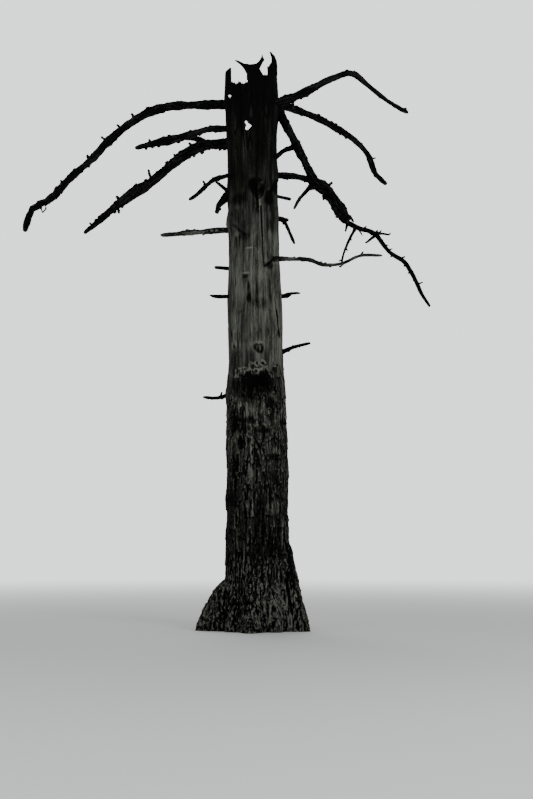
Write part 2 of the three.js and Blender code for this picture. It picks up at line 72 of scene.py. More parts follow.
# %% Place the camera
PHOTO_WIDE, PHOTO_HIGH = 533, 799
LENS, FILM = 48, 36
EYE = Vector((0.1638, -18.737, 1.4))
LOOK_UP = 7.9355
TRUNK_AIM = (0, 0, 5)
FOCAL = LENS / FILM * PHOTO_HIGH

bpy.ops.object.camera_add(location=EYE, rotation=(math.radians(90 + LOOK_UP), 0, 0))
camera = bpy.context.object
camera.name = "camera"
camera.data.lens = LENS
camera.data.sensor_width = FILM
camera.data.clip_end = 400
bpy.context.scene.camera = camera
bpy.context.view_layer.update()
TO_CAMERA = camera.matrix_world.inverted()


def pixel_of(point):
    """Where a point of the scene falls in the photograph."""
    seen = TO_CAMERA @ Vector(point)
    return Vector((PHOTO_WIDE / 2 - FOCAL * seen.x / seen.z, PHOTO_HIGH / 2 + FOCAL * seen.y / seen.z))


def point_at(pixel, beside):
    """The point behind a pixel that is as far away as another point."""
    depth = -(TO_CAMERA @ Vector(beside)).z
    across, down = pixel[0] - PHOTO_WIDE / 2, pixel[1] - PHOTO_HIGH / 2
    return camera.matrix_world @ Vector((across * depth / FOCAL, -down * depth / FOCAL, -depth))


plain_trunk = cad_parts["trunk"].data
trunk_surface = BVHTree.FromPolygons([corner.co for corner in plain_trunk.vertices],
                                     [face.vertices for face in plain_trunk.polygons])


def trunk_spot(pixel, sunk=0.0):
    """The spot of the trunk that falls on a pixel, or one sunk a little into the wood behind it."""
    way = (point_at(pixel, TRUNK_AIM) - EYE).normalized()
    return np.array(trunk_surface.ray_cast(EYE, way)[0] + way * sunk)


print("the foot falls at pixel", [round(value) for value in pixel_of((0, 0, 0))])

# %% [markdown]
# ## Patterns written as sums
# The floor's glow, the relief of the wood and its colour all come from node trees, which are lists of
# nodes joined by links and hard to read in code. A small class stands for one link, and turns each plus,
# minus or times into its node.

# %% Wrap a link
def is_vector(value):
    """True for a place or a colour, false for a plain number."""
    return isinstance(value, tuple) or isinstance(value, Sum) and value.socket.type in ("VECTOR", "RGBA")


class Sum:
    """One link of a node tree. Arithmetic on it adds the nodes that work it out."""

    def __init__(self, socket):
        self.socket = socket

    @staticmethod
    def node(tree, kind, settings=None, inputs=None, output=0):
        """Adds a node: its settings first, then the values or links of its sockets."""
        made = tree.nodes.new(kind)
        for name, value in (settings or {}).items():
            setattr(made, name, value)
        for name, value in (inputs or {}).items():
            socket = made.inputs[name]
            if isinstance(value, Sum):
                tree.links.new(value.socket, socket)
            elif is_vector(value) or not hasattr(socket.default_value, "__len__") or isinstance(value, str):
                socket.default_value = value
            else:
                socket.default_value = [value] * len(socket.default_value)
        return Sum(made.outputs[output])

    def also(self, kind, settings=None, inputs=None, output=0):
        """Adds a node to the tree that this link is in."""
        return Sum.node(self.socket.id_data, kind, settings, inputs, output)

    def combined(self, operation, other, swapped=False):
        """The node that works out an operation on this and another value."""
        kind = "ShaderNodeVectorMath" if is_vector(self) or is_vector(other) else "ShaderNodeMath"
        first, second = (other, self) if swapped else (self, other)
        return self.also(kind, {"operation": operation}, {0: first, 1: second})

    def __add__(self, other):
        return self.combined("ADD", other)

    def __radd__(self, other):
        return self.combined("ADD", other)

    def __sub__(self, other):
        return self.combined("SUBTRACT", other)

    def __rsub__(self, other):
        return self.combined("SUBTRACT", other, True)

    def __mul__(self, other):
        return self.combined("MULTIPLY", other)

    def __rmul__(self, other):
        return self.combined("MULTIPLY", other)

    def __truediv__(self, other):
        return self.combined("DIVIDE", other)


print("sums ready")

# %% Name the patterns
def step(value, low, high):
    """Rises softly from 0 at low to 1 at high, or falls where low is above high."""
    ends = {"Value": value, "From Min": low, "From Max": high}
    return value.also("ShaderNodeMapRange", {"interpolation_type": "SMOOTHSTEP"}, ends)


def drawn_out(place, share):
    """A place squeezed along the grain, so that a pattern there is drawn out along it."""
    return place * (1.0, 1.0, share)


def noise(place, scale, detail=2.0, rough=0.5):
    """Cloudy noise between 0 and 1."""
    inputs = {"Vector": place, "Scale": scale, "Detail": detail, "Roughness": rough}
    return place.also("ShaderNodeTexNoise", None, inputs)


def streaky(place, share, scale, detail=2.0, rough=0.5):
    """Noise that is drawn out along the grain."""
    return noise(drawn_out(place, share), scale, detail, rough)


def wander(place, scale, reach):
    """The same place moved about by noise, up to half a reach each way."""
    drift = place.also("ShaderNodeTexNoise", None, {"Vector": place, "Scale": scale}, 1)
    return place + (drift - (0.5, 0.5, 0.5)) * reach


def cracks(place, scale, width, detail=1.0):
    """1 along the lines where noise crosses its middle value, 0 away from them."""
    middle = noise(place, scale, detail) - 0.5
    return step(middle.also("ShaderNodeMath", {"operation": "ABSOLUTE"}, {0: middle}), width, 0.0)


def cell_values(place, scale):
    """A value of its own for each cell of a honeycomb."""
    color = place.also("ShaderNodeTexVoronoi", {"feature": "F1"}, {"Vector": place, "Scale": scale}, 1)
    return part_of(color, 0)


def part_of(place, axis):
    """One coordinate of a place."""
    return place.also("ShaderNodeSeparateXYZ", None, {0: place}, axis)


def fraction(value):
    """What is left of a value after its whole number."""
    return value.also("ShaderNodeMath", {"operation": "FRACT"}, {0: value})


def highest(*values):
    """The largest of some values."""
    top = values[0]
    for value in values[1:]:
        top = top.combined("MAXIMUM", value)
    return top


def measure(place, operation, other=(0.0, 0.0, 0.0)):
    """The length of a place, or its product with another."""
    return place.also("ShaderNodeVectorMath", {"operation": operation}, {0: place, 1: other}, 1)


print("patterns ready")

# %% [markdown]
# ## The studio
# The tree stands on a wide pale floor in plain soft light: a large panel at each side of the camera, one
# overhead, and a pale surround that fills the shadows. The boughs were photographed against a bright sky,
# so the surround looks brighter than the light that it gives, and the floor fades into it far away.

# %% Build the floor and the light
FLOOR_RADIUS, FLOOR_SIDES = 150, 96
FADE_FROM, FADE_TO = 3, 34
PALE = (0.80, 0.80, 0.79, 1)
SURROUND = (0.96, 0.98, 1.0, 1)
SURROUND_SEEN, SURROUND_LIGHT = 1.7, 0.42
PANELS_AIM = Vector((0, 0, 6))
# place, size in metres and watts
PANELS = [((10, -14, 9), 7, 1000), ((-10, -11, 6), 6, 140), ((-2, 9, 15), 8, 700)]


def new_finish(name, rough):
    """A material with its tree and its main shader."""
    made = bpy.data.materials.new(name)
    made.use_nodes = True
    shader = made.node_tree.nodes["Principled BSDF"]
    shader.inputs["Roughness"].default_value = rough
    return made, made.node_tree, shader


pale_floor, tree, shader = new_finish("pale_floor", 0.85)
shader.inputs["Base Color"].default_value = PALE
far = step(measure(Sum.node(tree, "ShaderNodeTexCoord", output="Object"), "LENGTH"), FADE_FROM, FADE_TO)
glow = far.also("ShaderNodeEmission", None, {"Color": SURROUND, "Strength": SURROUND_SEEN})
faded = tree.nodes.new("ShaderNodeMixShader")
for place, source in ((0, far.socket), (1, shader.outputs[0]), (2, glow.socket)):
    tree.links.new(source, faded.inputs[place])
tree.links.new(faded.outputs[0], tree.nodes["Material Output"].inputs["Surface"])

bpy.ops.mesh.primitive_circle_add(vertices=FLOOR_SIDES, radius=FLOOR_RADIUS, fill_type="NGON")
floor = bpy.context.object
floor.name = "floor"
floor.data.materials.append(pale_floor)

world = bpy.data.worlds.new("surround")
bpy.context.scene.world = world
world.use_nodes = True
backdrop = world.node_tree.nodes["Background"]
backdrop.inputs["Color"].default_value = SURROUND
seen = Sum.node(world.node_tree, "ShaderNodeLightPath", output="Is Camera Ray")
strength = seen * (SURROUND_SEEN - SURROUND_LIGHT) + SURROUND_LIGHT
world.node_tree.links.new(strength.socket, backdrop.inputs["Strength"])

for place, size, watts in PANELS:
    bpy.ops.object.light_add(type="AREA", location=place)
    panel = bpy.context.object
    panel.data.size = size
    panel.data.energy = watts
    panel.rotation_euler = (PANELS_AIM - Vector(place)).to_track_quat("-Z", "Y").to_euler()
print("light panels:", len(PANELS))

# %% [markdown]
# ## Copies of the frame
# A node of the frame is loose triangles. A working copy is merged into one closed mesh, and a voxel
# remesh then gives it even small faces, which a relief can move. The same remesh melts separate closed
# forms into one skin, so a bough and its spurs become one piece of wood with no seam between them.

# %% Copy, join and remesh
SAME_SPOT = 0.00002


def only(piece):
    """Makes one object the only one selected, and active."""
    bpy.ops.object.select_all(action="DESELECT")
    piece.select_set(True)
    bpy.context.view_layer.objects.active = piece


def linked(name, data):
    """A new object for a mesh or a curve."""
    made = bpy.data.objects.new(name, data)
    bpy.context.scene.collection.objects.link(made)
    return made


def joined(name, parts):
    """Several objects made one."""
    only(parts[0])
    for part in parts[1:]:
        part.select_set(True)
    if len(parts) > 1:
        bpy.ops.object.join()
    whole = bpy.context.object
    whole.name = name
    return whole


def edited(piece, change, **settings):
    """Makes one change to the whole of a mesh."""
    only(piece)
    bpy.ops.object.mode_set(mode="EDIT")
    bpy.ops.mesh.select_all(action="SELECT")
    change(**settings)
    bpy.ops.object.mode_set(mode="OBJECT")
    return piece


def merged(piece):
    """Merges the corners of a mesh that lie at the same spot."""
    return edited(piece, bpy.ops.mesh.remove_doubles, threshold=SAME_SPOT)


def copy_of(name, nodes):
    """A merged copy of some nodes of the frame."""
    whole = joined(name, [linked(name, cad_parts[node].data.copy()) for node in nodes])
    whole.data.materials.clear()
    return merged(whole)


def applied(piece, kind, **settings):
    """Adds a modifier with its settings and applies it at once."""
    only(piece)
    modifier = piece.modifiers.new(kind.lower(), kind)
    for name, value in settings.items():
        setattr(modifier, name, value)
    bpy.ops.object.modifier_apply(modifier=modifier.name)
    return piece


def rows_of(items, field, kind=np.float32, width=1):
    """One field of all the corners or edges of a mesh, as rows."""
    flat = np.empty(len(items) * width, kind)
    items.foreach_get(field, flat)
    return flat.reshape(-1, width)


def main_skin(piece):
    """Deletes the loose specks that a remesh can leave beside its main skin."""
    first, second = rows_of(piece.data.edges, "vertices", np.int32, 2).T
    label = np.arange(len(piece.data.vertices))
    while (label[first] != label[second]).any():
        lower = np.minimum(label[first], label[second])
        np.minimum.at(label, first, lower)
        np.minimum.at(label, second, lower)
        label = label[label]
    loose = label != np.bincount(label).argmax()
    if loose.any():
        bpy.ops.object.mode_set(mode="EDIT")
        bpy.ops.mesh.select_mode(type="VERT")
        bpy.ops.mesh.select_all(action="DESELECT")
        bpy.ops.object.mode_set(mode="OBJECT")
        piece.data.vertices.foreach_set("select", loose)
        bpy.ops.object.mode_set(mode="EDIT")
        bpy.ops.mesh.delete(type="VERT")
        bpy.ops.object.mode_set(mode="OBJECT")
    return piece


def remeshed(piece, voxel):
    """Even faces of about one voxel, all in one skin."""
    return main_skin(applied(piece, "REMESH", mode="VOXEL", voxel_size=voxel))


def corners_of(piece):
    """Every corner of a mesh as rows of x, y and z."""
    return rows_of(piece.data.vertices, "co", width=3).astype(float)


def move_corners(piece, corners):
    """Puts a mesh's corners where the rows say."""
    piece.data.vertices.foreach_set("co", corners.astype(np.float32).ravel())
    piece.data.update()


def cut_away(piece, near, far, operation="DIFFERENCE"):
    """Takes away what lies inside a prism, given as the corners of its two ends, or adds it by a union."""
    count = len(near)
    ends = [tuple(range(count)), tuple(range(count, 2 * count))]
    sides = [(index, (index + 1) % count, (index + 1) % count + count, index + count)
             for index in range(count)]
    mesh = bpy.data.meshes.new("cutter")
    mesh.from_pydata([*near, *far], [], [*ends, *sides])
    cutter = linked("cutter", mesh)
    edited(cutter, bpy.ops.mesh.normals_make_consistent, inside=False)
    applied(piece, "BOOLEAN", object=cutter, operation=operation, solver="EXACT")
    bpy.data.objects.remove(cutter)
    return piece


print("copies can be made")

# %% [markdown]
# ## Tubes for small wood
# Spurs, splinters, knots and twigs all start as a tapering tube along a few points. A curve with a round
# bevel and a radius at each point gives one, with closed ends, and many runs of points in one curve make
# many tubes at once.

# %% Make tapering tubes
def tubes(name, runs, roundness=1):
    """A mesh of closed tapering tubes. Each run is a list of points, each with its radius."""
    curve = bpy.data.curves.new(name, "CURVE")
    curve.dimensions = "3D"
    curve.bevel_depth = 1.0
    curve.bevel_resolution = roundness
    curve.use_fill_caps = True
    for run in runs:
        spline = curve.splines.new("POLY")
        spline.points.add(len(run) - 1)
        for corner, (point, radius) in zip(spline.points, run):
            corner.co = (*point, 1)
            corner.radius = radius
    only(linked(name, curve))
    bpy.ops.object.convert(target="MESH")
    return merged(bpy.context.object)


def tapering(points, wide, taper):
    """A run for a tube: points with radii, from a width and its shares from first to last."""
    shares = np.interp(np.linspace(0, 1, len(points)), np.linspace(0, 1, len(taper)), taper)
    return list(zip(points, shares * wide / 2))


print("tubes ready")

# %% [markdown]
# ## The relief of wood
# Weather works on dead wood in layers. Long checks open along the grain, soft fibres wear away between
# hard ones, and the bark that is left stands up in slabs. The relief is a height in metres, out from the
# plain skin, worked out by a geometry tree. Two numbers are kept on each corner for the colour: how deep
# in a crack it lies, and how proud it stands of the skin around it. The finishes use them for painted
# shade and painted highlight: cracks and hollows are painted darker and ridges paler.

# %% Store numbers on a mesh
def store(piece, **kept):
    """Keeps numbers, or places, for each corner of a mesh under their names."""
    for name, values in kept.items():
        is_place = values.ndim == 2
        layer = piece.data.attributes.new(name, "FLOAT_VECTOR" if is_place else "FLOAT", "POINT")
        layer.data.foreach_set("vector" if is_place else "value", values.astype(np.float32).ravel())


def stored(tree, name, kind="FLOAT"):
    """What is kept on the corners, as a link of a geometry tree."""
    return Sum.node(tree, "GeometryNodeInputNamedAttribute", {"data_type": kind}, {"Name": name})


def store_in(shape, name, value):
    """A geometry with one more number kept on its corners."""
    inputs = {"Geometry": shape, "Name": name, "Value": value}
    return shape.also("GeometryNodeStoreNamedAttribute", {"data_type": "FLOAT"}, inputs)


def blurred(place, times, weight=1.0):
    """A place evened out with its neighbours, over and over."""
    inputs = {"Value": place, "Iterations": times, "Weight": weight}
    return place.also("GeometryNodeBlurAttribute", {"data_type": "FLOAT_VECTOR"}, inputs)


print("numbers can be kept")

# %% Carve a relief
NEAR_BLUR, WIDE_BLUR = 5, 28
WIDE_SHARE = 0.5
UNDER_GROUND = -1


def carving(name, relief, soften):
    """A geometry tree that softens a mesh, moves its skin by a relief and stores how deep and proud it is.

    The relief gives a height, a crack depth and how much of the softening each place gets.
    """
    tree = bpy.data.node_groups.new(name, "GeometryNodeTree")
    tree.interface.new_socket("Geometry", in_out="INPUT", socket_type="NodeSocketGeometry")
    tree.interface.new_socket("Geometry", in_out="OUTPUT", socket_type="NodeSocketGeometry")
    shape = Sum.node(tree, "NodeGroupInput")
    position = Sum.node(tree, "GeometryNodeInputPosition")
    normal = Sum.node(tree, "GeometryNodeInputNormal")
    height, depth, softness = relief(tree)
    softened = {"Geometry": shape, "Position": blurred(position, soften, softness)}
    shape = shape.also("GeometryNodeSetPosition", None, softened)
    # the crack depth, kept as hollow, darkens the colour in the finishes: painted shade in the cracks
    shape = store_in(shape, "hollow", depth)
    shape = shape.also("GeometryNodeSetPosition", None, {"Geometry": shape, "Offset": normal * height})
    # proud paints ridges paler and hollows darker in the finishes: painted highlight and painted shade
    near = measure(position - blurred(position, NEAR_BLUR), "DOT_PRODUCT", normal)
    wide = measure(position - blurred(position, WIDE_BLUR), "DOT_PRODUCT", normal)
    shape = store_in(shape, "proud", near + wide * WIDE_SHARE)
    end = tree.nodes.new("NodeGroupOutput")
    tree.links.new(shape.socket, end.inputs["Geometry"])
    return tree


def carve(piece, tree):
    """Carves a relief into a mesh for good, keeps it in the frame's box and shades it smooth."""
    applied(piece, "NODES", node_group=tree)
    low, high = np.array(cad_box[0]), np.array(cad_box[1])
    low[2] = UNDER_GROUND
    move_corners(piece, np.clip(corners_of(piece), low, high))
    bpy.ops.object.shade_smooth()
    return piece


print("carving ready")

# %% [markdown]
# ## Finishes
# The wood's colour is a walk between two greys. Bark is near black, bare wood is silver with streaks along
# the grain, and on top of that each crack is painted darker than its edges (painted shade) and each ridge
# paler (painted highlight). All of it is dull, with fine fibres in the bump. The tone is squared before it
# picks the grey, so that most of the wood stays dark.

# %% Mix the greys
PROUD_SHADE = 55
SHEEN, BUMP_DEEP, BUMP_STRENGTH = 0.04, 0.006, 0.8


def wood(name, tone, dark, pale, bump, rough):
    """A dull wood whose grey runs from dark to pale with a tone, and whose skin has a fine bump."""
    made, tree, shader = new_finish(name, rough)
    shader.inputs["Specular IOR Level"].default_value = SHEEN
    place = Sum.node(tree, "ShaderNodeAttribute", {"attribute_name": "grain"}, None, 1)
    # hollow and proud bring painted shade in the cracks and painted highlights on the ridges; mark brings
    # the trunk's marks, some of them painted shadows and highlights
    depth, proud, mark = (Sum.node(tree, "ShaderNodeAttribute", {"attribute_name": kept}, None, 2)
                          for kept in ("hollow", "proud", "mark"))
    level = step(tone(place, depth, proud * PROUD_SHADE, mark), 0.0, 1.0)
    inputs = {0: level * level, 6: dark, 7: pale}
    color = place.also("ShaderNodeMix", {"data_type": "RGBA", "clamp_factor": True}, inputs, 2)
    tree.links.new(color.socket, shader.inputs["Base Color"])
    skin = {"Height": bump(place), "Distance": BUMP_DEEP, "Strength": BUMP_STRENGTH}
    tree.links.new(place.also("ShaderNodeBump", None, skin).socket, shader.inputs["Normal"])
    return made


def ramp(value, stops):
    """A value read from a line through some places, each with its height."""
    made = value.socket.id_data.nodes.new("ShaderNodeFloatCurve")
    line = made.mapping.curves[0]
    low, high = stops[0][0], stops[-1][0]
    line.points[0].location = (0, stops[0][1])
    line.points[1].location = (1, stops[-1][1])
    for place, level in stops[1:-1]:
        line.points.new((place - low) / (high - low), level)
    for point in line.points:
        point.handle_type = "VECTOR"
    made.mapping.update()
    share = (value - low) / (high - low)
    made.id_data.links.new(share.socket, made.inputs["Value"])
    return Sum(made.outputs[0])


print("greys can be mixed")

# %% [markdown]
# ## The middle line of a limb
# A limb's cracks run along it, so its patterns need to know how far along the limb a spot is and how far
# from its middle. Slices of the node's corners give that: the mean of each slice is a point of the middle
# line, and the spread of its corners is the limb's radius there.

# %% Find the middle line
SLICE, SLICE_BLUR = 0.05, 0.055
RADIUS_GAIN, FIRST_SIDE = 1.05, (0.31, 0.17, 0.94)
CORNERS_AT_ONCE = 20000
PARTS = ("_root", "_middle", "_tip")
HANGS_INWARD = ("branch_right_inner",)


def limb_name(node):
    """A node's limb: a bough's name without the part that the node is of it."""
    for part in PARTS if node.startswith("bough") else ():
        node = node.removesuffix(part)
    return node


def distances(points):
    """How far along a run of points each of them lies."""
    return np.concatenate([[0], np.cumsum(np.linalg.norm(np.diff(points, axis=0), axis=1))])


def along_run(reach, places, points):
    """The points at one or more distances along a run."""
    return np.stack([np.interp(reach, places, axis) for axis in points.T], -1)


def nearest_to(pixel, points):
    """The one of some points that falls nearest to a pixel."""
    gaps = [(pixel_of(point) - Vector(pixel)).length for point in points]
    return points[int(np.argmin(gaps))]


class MiddleLine:
    """The middle line of a limb from root to tip, with its radius and a fixed sideways direction."""

    def __init__(self, corners, root_near):
        centre = corners.mean(0)
        axis = np.linalg.svd(corners - centre, full_matrices=False)[2][0]
        along = (corners - centre) @ axis
        if np.linalg.norm(centre + axis * along.min() - root_near) > np.linalg.norm(
                centre + axis * along.max() - root_near):
            axis, along = -axis, -along
        places = np.arange(along.min() + SLICE / 4, along.max(), SLICE)
        shares = np.exp(-((along[None, :] - places[:, None]) / SLICE_BLUR) ** 2)
        shares /= shares.sum(1, keepdims=True)
        self.points = shares @ corners
        self.ways = np.gradient(self.points, axis=0)
        self.ways /= np.linalg.norm(self.ways, axis=1, keepdims=True)
        self.reach = distances(self.points)
        away = corners[None, :, :] - self.points[:, None, :]
        away -= self.ways[:, None, :] * (away * self.ways[:, None, :]).sum(2, keepdims=True)
        self.radii = np.sqrt((shares * (away ** 2).sum(2)).sum(1)) * RADIUS_GAIN
        side = np.cross(self.ways[0], FIRST_SIDE)
        self.sides = np.empty_like(self.points)
        for index, way in enumerate(self.ways):
            side = side - way * (side @ way)
            side /= np.linalg.norm(side)
            self.sides[index] = side

    def at(self, reach):
        """Point, direction, radius and side at a distance from the root."""
        point = along_run(reach, self.reach, self.points)
        index = min(int(np.searchsorted(self.reach, reach)), len(self.reach) - 1)
        return point, self.ways[index], float(np.interp(reach, self.reach, self.radii)), self.sides[index]

    def grain(self, corners):
        """Each corner's place in the grain, two across and one along, and the limb's radius there."""
        places, radii = np.empty_like(corners), np.empty(len(corners))
        for first in range(0, len(corners), CORNERS_AT_ONCE):
            some = slice(first, first + CORNERS_AT_ONCE)
            index = ((corners[some, None, :] - self.points[None, :, :]) ** 2).sum(2).argmin(1)
            away = corners[some] - self.points[index]
            up = np.cross(self.ways[index], self.sides[index])
            places[some, 0] = (away * self.sides[index]).sum(1)
            places[some, 1] = (away * up).sum(1)
            places[some, 2] = self.reach[index] + (away * self.ways[index]).sum(1)
            radii[some] = self.radii[index]
        return places, radii


limbs = {}
for node in sorted(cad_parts):
    if node not in ("trunk", "spray_right"):
        limbs.setdefault(limb_name(node), []).append(node)
print("limbs:", len(limbs))

# %% [markdown]
# ## The skin of a bough
# A bough is knobbly all the way: old side twigs have left bumps, its skin is cracked along the grain, and
# flakes of bark stand up on it. The bumps are shares of the limb's own radius, so that a thin branch isn't
# worn through. The patterns run in the stored places, so they follow its bends.

# %% Shape a limb's relief
KNOB_SHARE, LUMP_SHARE, FLAKE_SHARE = 0.34, 0.22, 0.07
LIMB_FIBRE, CHECK_SHARE = 0.0030, 0.13
LIFT, LIFT_SHARE, THIN_LIFT = 0.003, 0.07, 0.0065
THIN_FROM, THIN_TO = 0.042, 0.014


def limb_relief(tree):
    """Height, crack depth and softening of a bough's skin."""
    place, girth = stored(tree, "grain", "FLOAT_VECTOR"), stored(tree, "girth")
    bent = wander(drawn_out(place, 0.7), 9.0, (0.03, 0.03, 0.03))
    knobs = (noise(bent, 11.0, 1.0) - 0.5) * KNOB_SHARE + (noise(bent, 34.0, 2.0) - 0.5) * LUMP_SHARE
    flakes = step(streaky(bent, 0.5, 24.0, 3.0), 0.50, 0.53) * FLAKE_SHARE
    fibres = (streaky(bent, 0.12, 70.0, 2.0) - 0.5) * LIMB_FIBRE
    checks = cracks(drawn_out(bent, 0.16), 14.0, 0.05)
    raised = LIFT + step(girth, THIN_FROM, THIN_TO) * THIN_LIFT
    total = girth * (knobs + flakes + LIFT_SHARE - checks * CHECK_SHARE) + fibres + raised
    # the checks also come back as the crack depth, which paints them darker: painted shade
    return total - stored(tree, "pinch"), checks, 0.4


limb_tree = carving("limb relief", limb_relief, 1)
print("limb relief nodes:", len(limb_tree.nodes))

# %% Finish the boughs
BOUGH_BLACK, BOUGH_GREY = (0.0008, 0.0008, 0.0008, 1), (0.013, 0.013, 0.0125, 1)
BRANCH_BLACK, BRANCH_GREY = (0.004, 0.004, 0.0036, 1), (0.10, 0.10, 0.09, 1)


def bough_tone(place, depth, proud, mark):
    """Mostly dark, with paler streaks where the bark has gone."""
    streaks = streaky(place, 0.12, 36.0, 3.0, 0.6)
    bare = step(streaky(place, 0.35, 7.0, 4.0), 0.48, 0.62)
    flecks = step(streaky(place, 0.6, 60.0, 2.0), 0.58, 0.70)
    # proud paints ridges paler and hollows darker, and depth darkens the cracks: painted highlight and
    # painted shade
    return (streaks * 0.35 + bare * streaks * 0.8 + flecks * 0.2 + proud + mark) * (1 - depth * 0.7)


def bough_bump(place):
    """Fibres along the limb, and the grit of old bark."""
    return streaky(place, 0.08, 190.0, 3.0, 0.6) + noise(place, 110.0, 3.0, 0.6) * 0.8


bough_skin = wood("weathered_bark", bough_tone, BOUGH_BLACK, BOUGH_GREY, bough_bump, 0.92)
branch_skin = wood("weathered_branch", bough_tone, BRANCH_BLACK, BRANCH_GREY, bough_bump, 0.88)
print("bough finishes ready")

# %% [markdown]
# ## Boughs, branches, stubs and pegs
# Each limb starts as the copy of its nodes. A core along its middle line runs through the joints between
# its nodes and on into the trunk. Spurs are what is left of side twigs: some stand where the photograph
# shows one, and the rest are dealt out by chance from a fixed seed, short and thick, leaning towards the
# tip as twigs do. The remesh melts them all together. Where the photograph shows a thin place or a gap, the
# limb is worn in or cut through.

# %% Set the spurs seen in the photograph
# limb: pixels from the root of the spur out, and its width in mm
SEEN_SPURS = {
    "bough_left_top": [
        ([(28, 224), (25.6, 230)], 84), ([(89, 159), (87, 155.2)], 42), ([(63, 183), (60.4, 180)], 34),
        ([(104, 140), (101.4, 137)], 34), ([(135, 117), (131.6, 113.6)], 36),
        ([(120, 127), (117, 124.6)], 34),
        ([(43, 205), (41, 208.4), (42.5, 212.6), (45.6, 209.4), (46, 205)], 24),
        ([(33, 209), (30.8, 207)], 34),
    ],
    "bough_left_second": [
        ([(148, 145), (145.6, 149.4)], 42), ([(166, 139), (163.6, 136.6)], 34),
        ([(152, 141), (149, 139.4)], 36),
    ],
    "bough_left_main": [
        ([(96, 221), (87.6, 229)], 60), ([(118, 201), (116.6, 196.4)], 56),
        ([(117.5, 206), (119.2, 213.5)], 38), ([(133, 190), (134.6, 185.6), (137.4, 183.8)], 34),
        ([(176, 157), (173.4, 154)], 38), ([(150, 174), (148.4, 170.2)], 40),
        ([(104, 214), (106, 218)], 38), ([(124, 201), (120.6, 196.8)], 50), ([(92, 225), (89.6, 223)], 34),
        ([(192, 147), (188.4, 143)], 44),
    ],
    "bough_right_top": [
        ([(294, 105), (294.2, 112)], 36), ([(352, 73.5), (354.4, 70.6)], 32),
        ([(403.4, 109.4), (406.2, 108.6)], 40),
    ],
    "bough_right_second": [([(372, 160), (375.6, 158)], 34), ([(384.6, 182), (386.6, 184.2)], 36)],
    "bough_right_drooping": [
        ([(298.6, 147), (299.8, 141.6)], 58), ([(327, 186), (332, 182.6)], 42),
        ([(347, 211), (350.2, 216.4), (353.8, 222)], 42), ([(318, 186), (309.6, 188.8)], 60),
        ([(343, 206), (346.6, 208.6)], 44), ([(334, 206), (336, 212), (337.2, 217.4)], 52),
        ([(338, 208), (341, 214), (345, 221)], 80),
        ([(319.6, 184.4), (328.8, 191.6), (336.2, 202), (342.4, 211)], 156),
    ],
    "branch_left_thin": [([(205, 184), (203, 181)], 26)],
    "branch_right_inner": [([(310, 187), (304, 193), (299, 199)], 40)],
    "branch_right_grey": [([(343, 262), (341.4, 266)], 22), ([(362, 254.8), (363, 251.8)], 20)],
    "peg_left_lower": [([(221.5, 396), (221.9, 392.4)], 32)],
    "peg_left_middle": [([(226, 296.8), (220, 296.9), (215.6, 296.7), (211.6, 295.7)], 50)],
    "peg_right_middle": [
        ([(282, 296.8), (287, 296.4), (290.6, 294.4)], 62), ([(286, 295), (291, 293.4), (298, 293)], 46),
    ],
}
# limb: pixel, reach and depth in metres of a place that is worn thin
SEEN_PINCHES = {
    "bough_right_drooping": [
        ((299, 162), 0.09, 0.035), ((300.6, 168), 0.1, 0.055), ((303, 174), 0.1, 0.055),
    ],
}
# limb: outlines of sky through it
SEEN_GAPS = {
    "bough_right_drooping": [
        [(348.8, 219.2), (351.2, 220.4), (353.2, 222.2), (354.6, 224.4), (358, 226), (356, 227.6),
         (353.6, 226), (350.8, 223.4), (348.9, 221)],
    ],
}
GAP_REACH = (0, 0.4, 0)
# metres that a limb's skin gains all over, or loses where the number is below nothing
GAINS = {"peg_right_middle": -0.003, "peg_left_upper": 0.003, "peg_left_middle": -0.002,
         "branch_right_hanging": -0.003, "branch_right_grey": -0.0015}
SPUR_TAPER = (1.3, 1.0, 0.75)
FINER_VOXEL, COARSER_VOXEL = 0.0046, 0.0088
VOXEL_SHARE = 0.135
CORE_SHARE, CORE_TIP_SHARE = 0.78, 1.25
CORE_ROOTED, FORK_ROOTED = 0.13, 0.05
SPUR_SPACING, SPUR_LENGTH, SPUR_WIDE = (0.05, 0.13), (0.002, 0.016), (0.5, 1.0)
SPUR_WIDEST, SPUR_SHORT_BELOW = 0.042, 0.05
SPUR_SUNK, SPUR_LEAN, SPUR_END = 0.4, 0.7, 0.05
PINCH_EDGE, GRAIN_SHIFT = 1.4, 9
FORKED = ("fork_left_main", "branch_right_inner")
LEAN, LEAN_FROM, LEAN_TO = -0.105, 2.0, 9.5

chance = random.Random(5)


def axis_at(heights):
    """How far the trunk's axis has drifted sideways at each height."""
    return LEAN * np.clip((heights - LEAN_FROM) / (LEAN_TO - LEAN_FROM), 0, 1)


def core_of(line, is_forked):
    """A tube along the whole limb that ties its parts together and runs on into what carries it."""
    root = line.points[0]
    inward = -line.ways[0] * FORK_ROOTED
    if not is_forked:
        inward = np.array((axis_at(root[2]), 0, root[2])) - root
        inward *= CORE_ROOTED / np.linalg.norm(inward)
    shares = CORE_SHARE + (CORE_TIP_SHARE - CORE_SHARE) * (line.reach / line.reach[-1]) ** 3
    return [(root + inward, line.radii[1] * CORE_SHARE), *zip(line.points, line.radii * shares)]


def spur(line, reach):
    """A stub of a side twig at a distance from the root, leaning towards the limb's tip."""
    point, way, radius, side = line.at(reach)
    turn = chance.uniform(0, 2 * math.pi)
    out = side * math.cos(turn) + np.cross(way, side) * math.sin(turn)
    length = chance.uniform(*SPUR_LENGTH) * min(1, radius / SPUR_SHORT_BELOW)
    wide = min(radius * chance.uniform(*SPUR_WIDE), SPUR_WIDEST)
    tip = point + out * (radius + length) + way * (length + wide) * SPUR_LEAN
    return tapering([point + out * radius * SPUR_SUNK, point + out * radius, tip], wide, SPUR_TAPER)


